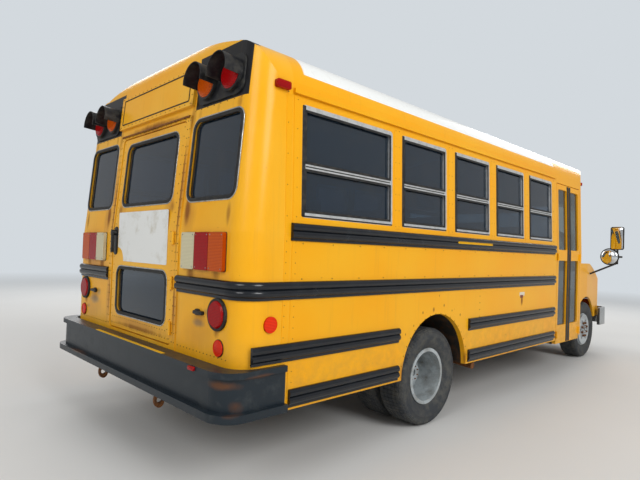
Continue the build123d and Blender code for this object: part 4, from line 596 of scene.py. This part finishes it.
red_lens = lens("red_acrylic_lens", "c40d0f", "86070a", 0.05)
dress(red_lens, "red_lamps")
dress(lens("amber_acrylic_lens", "ea6c08", "ac3f04", 0.05), "amber_lamps")
dress(lens("clear_acrylic_lens", "efe6c4", "c0b896", 0.05), "clear_lamps")
dress(weathered("black_enamel_lamp_hoods", "1b1c1f", "34332f", 50.0, 3.0, (0.35, 0.6)),
      "warning_panels")
rings = bmesh.new()
for side in (-1, 1):
    plate(rings, wall_seat(side * 0.990, 0.945), (0.090, 0.090), 0.0, 0.016, band=0.0145,
          round_sides=48, edge=0.004)
    plate(rings, wall_seat(side * 1.010, 0.765), (0.048, 0.048), 0.0, 0.004, band=0.0035,
          round_sides=32)
    for cell in range(3):
        plate(rings, wall_seat(side * (0.675 + 0.15 * cell), 1.2875), (0.0748, 0.1095), 0.012,
              0.004)
add_piece("lamp_rubbers", rings, rubber, "chassis")
rows = []
for node_name, cell in (("clear_lamps", 0.675), ("red_lamps", 0.825), ("amber_lamps", 0.975)):
    rows += from_behind(node_name, [(side * (cell - 0.058), z, side * (cell + 0.058), z, 0.116)
                                    for side in (-1, 1) for z in (1.194, 1.381)])
screw_steel = weathered("zinc_screw_steel", "8f8f8b", "59493a", 6.0, 1.5, (0.35, 0.6), metallic=0.8)
heads("lens_screws", rows, 0.0045, screw_steel, "chassis")

# Reflectors: orange-red moulded discs with a raised rim, clipped over their sockets. The front cap
# has a small red marker lamp screwed to each side.
discs = bmesh.new()
seats = [wall_seat(side * 1.010, 0.765) for side in (-1, 1)]
seats += [side_seat(side, rear_x + 0.180, 0.905) for side in (-1, 1)]
for seat in seats:
    plate(discs, seat, (0.0446, 0.0446), 0.0, 0.0088, round_sides=40, edge=0.002)
    plate(discs, seat, (0.0446, 0.0446), 0.0, 0.0105, band=0.005, round_sides=40, edge=0.001)
    plate(discs, seat, (0.006, 0.006), 0.0, 0.0105, round_sides=12)
add_piece("reflector_discs", discs, lens("orange_red_reflector", "f2380f", "ca2408", 0.02),
          "chassis")
cap_markers = bmesh.new()
for side in (-1, 1):
    seat = land("front_cap", (1.80, side * beside, 2.255), (0, -side, 0))
    plate(cap_markers, seat, (0.040, 0.018), 0.010, 0.020, edge=0.005)
add_piece("front_cap_marker_lamps", cap_markers, red_lens, "chassis")

# Old lamp stubs: small black handles, screwed on dented, scraped places each side of the door
stubs = bmesh.new()
for side in (-1, 1):
    seat = wall_seat(side * 0.80, 0.935)
    plate(stubs, seat, (0.050, 0.011), 0.010, 0.020, edge=0.005)
    plate(stubs, shifted(seat, side * 0.016, 0.002), (0.024, 0.018), 0.016, 0.014, edge=0.004)
add_piece("rear_handle_stubs", stubs, handle_black, "chassis")

# Rear bumper: heavy pressed steel in black enamel, scuffed to grey on its lips and rusting where
# it has been struck, with a yellow strip on its top lip and one small red marker lamp.
scuffs = [((-3.40, -1.17, 0.61), (0.16, 0.11, 0.030), 0.85),
          ((-3.36, -1.24, 0.50), (0.10, 0.05, 0.05), 0.8),
          ((-3.43, 0.75, 0.47), (0.04, 0.22, 0.012), 0.6),
          ((-3.20, -1.25, 0.645), (0.12, 0.03, 0.018), 0.7)]
dress(weathered("black_enamel_bumper_scuffed", "1d262d", "3d4143", 90.0, 5.0, (0.35, 0.6),
                (0.52, 0.85), deep_mm=0.15, marks=scuffs), "rear_bumper")
strips = bmesh.new()
laid(strips, "rear_bumper", (-3.4225, -0.60, 0.9), (0.022, 0, 0), (0, 1.02, 0), (1, 8), (0, 0, -1),
     0.0025)
add_piece("bumper_strip", strips, strip_yellow, "chassis")
marker = bmesh.new()
plate(marker, land("rear_bumper", (behind, -0.95, 0.664), forwards), (0.032, 0.011), 0.008, 0.012,
      edge=0.004)
add_piece("bumper_marker_lamp", marker, red_lens, "chassis")
rust_steel = weathered("rusty_forged_steel", "5b3a22", "8a5a33", 14.0, 3.0, (0.7, 0.95),
                       (0.4, 0.65), metallic=0.2, deep_mm=1.0)
dress(rust_steel, "tow_eyes")

# Front bumper: pressed steel with dull chrome; grille and lamp surrounds: moulded black plastic.
dress(weathered("dull_chromed_steel", "a9abac", "8a867e", 120.0, 12.0, (0.2, 0.4), (0.5, 0.8),
                metallic=0.95, deep_mm=0.03), "front_bumper")
black_plastic = weathered("moulded_black_plastic", "1d1d1e", "3b3a37", 45.0, 1.5, (0.45, 0.65))
dress(black_plastic, "grille")

# Entry door: two yellow leaves with clear panes, edged with a broad black rubber where they meet.
dress(sheet_glass("grey_door_glass", "77827f", 0.88, 0.02), "entry_glass_rear", "entry_glass_front")
for label, low, high in (("rear", 1.195, 1.2445), ("front", 1.2565, 1.306)):
    strips = bmesh.new()
    laid(strips, "entry_leaf_" + label, (low + 0.001, -beside, 0.385), (high - low - 0.002, 0, 0),
         (0, 0, 1.765), (1, 18), (0, 1, 0), 0.003)
    add_piece("entry_rubber_" + label, strips, rubber, "entry_" + label)

# Mirrors: black moulded heads on steel tube arms, with silvered glass facing back: a flat one,
# and a domed one below it.
dress(black_plastic, "mirrors")
silvered = weathered("silvered_mirror_glass", "d9dde0", "b9bcbc", 50.0, 30.0, (0.02, 0.08),
                     (0.6, 0.9), metallic=1.0, deep_mm=0.02)
mirror_glass = bmesh.new()
back = Matrix(((0, 0, -1), (-1, 0, 0), (0, 1, 0))).to_4x4()
for side in (-1, 1):
    plate(mirror_glass, Matrix.Translation((2.7395, side * 1.310, 1.625)) @ back, (0.070, 0.145),
          0.020, 0.002, edge=0.0008)
    dome = bmesh.new()
    bmesh.ops.create_uvsphere(dome, u_segments=40, v_segments=20, radius=0.105)
    bmesh.ops.bisect_plane(dome, geom=dome.verts[:] + dome.edges[:] + dome.faces[:],
                           plane_co=(0, 0, 0), plane_no=(0, 0, 1), clear_inner=True)
    bmesh.ops.holes_fill(dome, edges=[e for e in dome.edges if e.is_boundary], sides=0)
    bmesh.ops.scale(dome, vec=(1, 1, 0.35), verts=dome.verts)
    bmesh.ops.transform(dome, matrix=Matrix.Translation((2.7545, side * 1.220, 1.375)) @ back,
                        verts=dome.verts)
    join_in(mirror_glass, dome)
add_piece("mirror_glass", mirror_glass, silvered, "chassis")

# Driver's door handle: a black lever on a round-ended plate, near the door's rear edge
pull = bmesh.new()
seat = land("driver_door", (1.125, beside, 1.10), (0, -1, 0))
plate(pull, seat, (0.060, 0.020), 0.018, 0.006, edge=0.002)
plate(pull, shifted(seat, 0.040), (0.012, 0.014), 0.008, 0.026, edge=0.003)
plate(pull, shifted(seat, -0.005, 0, 0.020), (0.055, 0.011), 0.010, 0.009, edge=0.003)
add_piece("driver_door_lever", pull, handle_black, "driver_door")

# Wipers: two black arms and blades on round pivots, parked low on the windscreen
wipers = bmesh.new()
for root, elbow, first, last in (
        ((-0.10, 1.365), (-0.46, 1.435), (-0.16, 1.405), (-0.76, 1.470)),
        ((0.62, 1.365), (0.26, 1.435), (0.56, 1.405), (-0.04, 1.470))):
    for pair, radius, off in (((root, elbow), 0.006, 0.022), ((first, last), 0.007, 0.010)):
        ends = [land("cab_glass", (ahead, y, z), backwards) @ Vector((0, 0, off)) for y, z in pair]
        along = ends[1] - ends[0]
        seat = (Matrix.Translation((ends[0] + ends[1]) / 2)
                @ along.to_track_quat("Z", "Y").to_matrix().to_4x4())
        bmesh.ops.create_cone(wipers, cap_ends=True, segments=8, radius1=radius, radius2=radius,
                              depth=along.length, matrix=seat)
    plate(wipers, land("cab_glass", (ahead, *root), backwards), (0.018, 0.018), 0.0, 0.028,
          round_sides=16, edge=0.004)
add_piece("wipers", wipers, black_plastic, "chassis")

# Stop arm: an eight-sided blank sign in red reflective film with a white edge, on a black bracket
# that is bolted to the left wall
dress(weathered("red_reflective_sign", "b3191b", "8c2019", 90.0, 3.0, (0.3, 0.5)), "stop_arm")
dress(handle_black, "stop_bracket")
borders = bmesh.new()
eighth = Matrix.Rotation(math.radians(22.5), 4, "Z")
for side in (-1, 1):
    face = Matrix(((1, 0, 0), (0, 0, side), (0, 1, 0))).to_4x4() @ eighth
    seat = Matrix.Translation((rear_x + 4.086 - 0.255, 1.271 + side * 0.005, 1.165)) @ face
    plate(borders, seat, (0.2395, 0.2395), 0.0, 0.0006, band=0.018, round_sides=8)
add_piece("stop_sign_edge", borders, plate_white, "stop_arm")

# Tyres: moulded rubber, five rows of tread blocks worn by half, ribbed shoulders and plain flanks.
# Grey-brown road dust fills the grooves. Each is turned as a ring, then its blocks are raised.
tyre_rubber = weathered("dusty_tyre_rubber", "34373b", "5a5953", 60.0, 4.0, (0.65, 0.9),
                        (0.42, 0.75), deep_mm=0.4)
half_section = ((0.2040, 0.0700), (0.2176, 0.0742), (0.2290, 0.0835), (0.2440, 0.0915),
                (0.2620, 0.1000), (0.2900, 0.1090), (0.3060, 0.1113), (0.3100, 0.1098),
                (0.3350, 0.1062), (0.3560, 0.0975), (0.3655, 0.0800), (0.3665, 0.0500),
                (0.3665, 0.0180))  # radius, and half the width there
blocks_round, axle_z = 72, 0.372


def tyre_ring(mesh, x, y):
    own = bmesh.new()
    section = [own.verts.new((r, across, 0)) for r, across in half_section]
    section += [own.verts.new((r, -across, 0)) for r, across in reversed(half_section)]
    for first, second in zip(section, section[1:] + section[:1]):
        own.edges.new((first, second))
    bmesh.ops.spin(own, geom=own.verts[:] + own.edges[:], cent=(0, 0, 0), axis=(0, 1, 0),
                   angle=2 * math.pi, steps=blocks_round, use_merge=True)
    bmesh.ops.remove_doubles(own, verts=own.verts, dist=0.00005)
    bmesh.ops.recalc_face_normals(own, faces=own.faces)
    # Tread blocks on the outer band, then the smaller ones of the shoulders
    for low, high, least_y, inset, depth in ((0.3640, 1.0, 0.0, 0.0028, 0.0052),
                                             (0.3400, 0.3635, 0.082, 0.0042, 0.0045)):
        blocks = [f for f in own.faces for c in [f.calc_center_median()]
                  if low < math.hypot(c.x, c.z) < high and abs(c.y) >= least_y]
        bmesh.ops.inset_individual(own, faces=blocks, thickness=inset, depth=depth,
                                   use_even_offset=True)
    bmesh.ops.translate(own, vec=(x, y, axle_z), verts=own.verts)
    join_in(mesh, own)


front_axle_x = 2.5595
for label, side in (("right", -1), ("left", 1)):
    for place, x, centres in (("front", front_axle_x, (0.876,)),
                              ("rear", rear_axle_x, (0.796, 1.058))):
        tread = bmesh.new()
        for centre in centres:
            tyre_ring(tread, x, side * centre)
        tyre = add_piece(place + "_tread_tyre_" + label, tread, tyre_rubber,
                         place + "_wheel_" + label, 28)
        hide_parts(place + "_tyre_" + label)

# Rims: pressed steel discs in grey enamel under brake dust and dried mud, each held by eight nuts
# on studs round a hub with its own ring of small bolts.
rim_grey = weathered("grey_enamel_rims_dirty", "a3abae", "5d5a52", 90.0, 6.0, (0.16, 0.5),
                     (0.46, 0.8), shine=0.7, deep_mm=0.08)
for place, x in (("front", front_axle_x), ("rear", rear_axle_x)):
    for label, side in (("right", -1), ("left", 1)):
        rim = place + "_rim_" + label
        dress(rim_grey, rim)
        nuts = bmesh.new()
        for circle, radius, deep in ((0.090, 0.015, 0.022), (0.052, 0.006, 0.008)):
            for i in range(8):
                turn = 2 * math.pi * (i + 0.5) / 8
                start = (x + circle * math.cos(turn), side * beside,
                         axle_z + circle * math.sin(turn))
                seat = land(rim, start, (0, -side, 0))
                if seat:
                    bmesh.ops.create_cone(nuts, cap_ends=True, segments=6, radius1=radius,
                                          radius2=radius * 0.85, depth=deep,
                                          matrix=shifted(seat, z=deep / 2))
        add_piece(place + "_wheel_nuts_" + label, nuts, rust_steel, place + "_wheel_" + label,
                  20)

# Running gear: a rolled steel ladder frame and its springs in old black paint, gone brown with
# rust, cast axle and knuckles, and bare steel rods, a pressed tank and a rusty exhaust.
dress(weathered("rusty_black_frame_paint", "26231f", "573a24", 60.0, 4.0, (0.6, 0.9), (0.48, 0.7),
                deep_mm=0.8), "frame", "front_suspension", "wheel_tubs")
dress(weathered("cast_iron_oily", "3b3835", "5a4332", 40.0, 3.0, (0.5, 0.85), metallic=0.5,
                deep_mm=1.0), "rear_axle", "knuckle_left", "knuckle_right", "engine")
dress(weathered("drawn_steel_dull", "6d6963", "63472f", 40.0, 2.0, (0.4, 0.75), metallic=0.7),
      "tie_rod", "driveshaft", "fuel_tank")
dress(rust_steel, "exhaust")

# Inside: plywood floor under black ribbed rubber, a grained plastic dashboard, black tube frames
dress(weathered("black_floor_rubber", "2a2a29", "4b463e", 120.0, 5.0, (0.6, 0.85), deep_mm=0.8),
      "floor", "entry_steps")
dress(weathered("grained_grey_dashboard", "3a3b3d", "4b4a47", 60.0, 1.5, (0.5, 0.7)), "dashboard")
dress(weathered("black_powder_coated_tube", "1f1f20", "3a3733", 30.0, 2.0, (0.4, 0.65)),
      "seat_frames")

# Seats: foam blocks in stitched green vinyl, five benches a side and the driver's seat, each pad
# screwed to its frame. The foam swells between the seams, so a pad is crowned, with its corners in.
vinyl = weathered("green_seat_vinyl", "2f3d33", "3d463c", 60.0, 3.0, (0.38, 0.55), deep_mm=0.4)


def cushion(low, high, swell):
    # A pad between two corners: drawn a little small, swollen by air pressure as foam fills its
    # cover, then held inside the room that its solid has
    own = bmesh.new()
    bmesh.ops.create_cube(own, size=1.0)
    bmesh.ops.scale(own, vec=[s - 2 * swell for s in Vector(high) - Vector(low)], verts=own.verts)
    bmesh.ops.bevel(own, geom=own.edges[:], offset=0.022, segments=3, profile=0.5, affect="EDGES",
                    material=-1)
    pad = new_object("pad_pattern", mesh_data("pad_pattern", own))
    remesh = pad.modifiers.new("even_faces", "REMESH")
    remesh.mode = "VOXEL"
    remesh.voxel_size = 0.014
    evaluated = pad.evaluated_get(bpy.context.evaluated_depsgraph_get())
    still = bpy.data.meshes.new_from_object(evaluated)
    pad.modifiers.remove(remesh)
    pad.data = still
    frames = 20
    cloth = pad.modifiers.new("cover", "CLOTH")
    cloth.settings.use_pressure = True
    cloth.settings.uniform_pressure_force = 4.0
    cloth.settings.effector_weights.gravity = 0.0
    cloth.point_cache.frame_end = frames
    for step in range(1, frames + 1):
        bpy.context.scene.frame_set(step)
    evaluated = pad.evaluated_get(bpy.context.evaluated_depsgraph_get())
    swollen = bpy.data.meshes.new_from_object(evaluated)
    for rest, moved in zip(still.vertices, swollen.vertices):
        step = moved.co - rest.co
        if step.length > swell:
            moved.co = rest.co + step.normalized() * swell
    pad.modifiers.remove(cloth)
    pad.data = swollen
    bpy.context.scene.frame_set(1)
    pad.data.shade_smooth()
    return pad


bench_long, back_thick, seat_foot, gap = 0.400, 0.090, 1.030, 0.001
seat_rows = [("bench_%d_%s" % (row + 1, label), rear_x + 0.560 + row * 0.711, side * 0.6725, 0.945)
             for row in range(5) for side, label in ((-1, "right"), (1, "left"))]
seat_rows.append(("driver_seat", rear_x + 4.440, 0.500, 0.480))
patterns = {}
for name, start, across, width in seat_rows:
    middle = start + back_thick
    for part, first, last, high, swell in (
            ("back", start, middle, 1.650, 0.012),
            ("cushion", middle + gap, middle + bench_long + gap, 1.150, 0.014)):
        box_low = (first, across - width / 2, seat_foot)
        box_high = (last, across + width / 2, high)
        if (width, part) not in patterns:
            patterns[width, part] = cushion(box_low, box_high, swell)
        data = patterns[width, part].data.copy()
        data.transform(Matrix.Translation((Vector(box_low) + Vector(box_high)) / 2))
        data.materials.append(vinyl)
        piece = new_object(name + "_" + part, data)
        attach(piece, "chassis")
        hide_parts("seat_pads")
for pattern in patterns.values():
    bpy.data.objects.remove(pattern)

# Studio: a pale floor and backdrop, soft lamps high on both sides, and the photograph's camera.
# Far off, the floor's paint fades into the colour of the air.
air_colour = "d3d9de"
stage_white, here = new_finish("pale_studio_paint")
mottle = node(stage_white, "TexNoise", {"Scale": 0.8}, here)
shade = node(stage_white, "Mix", {"data_type": "RGBA", 6: colour("dcdcda"), 7: colour("d6d6d4")},
             {0: (mottle, "Fac")})
near = node(stage_white, "BsdfPrincipled", {"Roughness": 0.9}, {"Base Color": (shade, 2)})
haze = node(stage_white, "Emission", {"Color": colour(air_colour)})
away = node(stage_white, "VectorMath", {"operation": "LENGTH"}, here)
fade = node(stage_white, "MapRange", {"From Min": 7.0, "From Max": 20.0}, {"Value": (away, 1)})
both = node(stage_white, "MixShader", links={0: (fade, 0), 1: (near, 0), 2: (haze, 0)})
node(stage_white, "OutputMaterial", links={"Surface": (both, 0)})
ground = bmesh.new()
bmesh.ops.create_circle(ground, cap_ends=True, radius=60.0, segments=96)
floor = new_object("studio_floor", mesh_data("studio_floor", ground))
floor.data.materials.append(stage_white)
floor.location = (0, 0, -0.001)

# The air is bright to the camera and through glass, and dimmer to the paint that reflects it
world = bpy.data.worlds.new("pale_studio_air")
world.use_nodes = True
world.node_tree.nodes.clear()
bpy.context.scene.world = world
rays = node(world, "LightPath")
through = node(world, "Math", {"operation": "MAXIMUM"},
               {0: (rays, "Is Camera Ray"), 1: (rays, "Is Transmission Ray")})
power = node(world, "MapRange", {"To Min": 0.46, "To Max": 1.0}, {"Value": (through, 0)})
tone = node(world, "Mix", {"data_type": "RGBA", 6: (1.0, 1.0, 1.0, 1.0), 7: colour(air_colour)},
            {0: (through, 0)})
air = node(world, "Background", links={"Color": (tone, 2), "Strength": (power, 0)})
node(world, "OutputWorld", links={"Surface": (air, 0)})

for name, spot, size, watts in (("key_soft", (-3.0, -11.0, 7.0), 6.0, 720.0),
                                ("fill_soft", (0.0, 11.0, 7.0), 6.0, 380.0),
                                ("rear_soft", (-11.5, -3.0, 6.5), 5.0, 300.0),
                                ("front_soft", (10.5, 1.0, 6.5), 5.0, 300.0)):
    lamp = bpy.data.lights.new(name, "AREA")
    lamp.shape = "DISK"
    lamp.size = size
    lamp.energy = watts
    lamp_object = new_object(name, lamp)
    lamp_object.location = spot
    aim = Vector((0, 0, 1)) - Vector(spot)
    lamp_object.rotation_euler = aim.to_track_quat("-Z", "Y").to_euler()

# The photograph's camera, as solved from the bus's own lines
yaw, pitch, roll = (math.radians(a) for a in (45.739, 1.26, 2.047))
focal_px, photo_px, sensor_mm = 497.258, 640, 36.0
forward = Vector((math.cos(yaw) * math.cos(pitch), math.sin(yaw) * math.cos(pitch),
                  math.sin(pitch)))
right = Vector((math.sin(yaw), -math.cos(yaw), 0))
up = right.cross(forward)
image_x = right * math.cos(roll) + up * math.sin(roll)
image_y = up * math.cos(roll) - right * math.sin(roll)
lens_data = bpy.data.cameras.new("photo_camera")
lens_data.sensor_width = sensor_mm
lens_data.lens = focal_px * sensor_mm / photo_px
lens_data.clip_end = 200
camera = new_object("photo_camera", lens_data)
camera.matrix_world = (Matrix.Translation((-4.8115, -3.318, 1.312))
                       @ Matrix((image_x, image_y, -forward)).transposed().to_4x4())
bpy.context.scene.camera = camera
bpy.context.scene.view_settings.view_transform = "Standard"
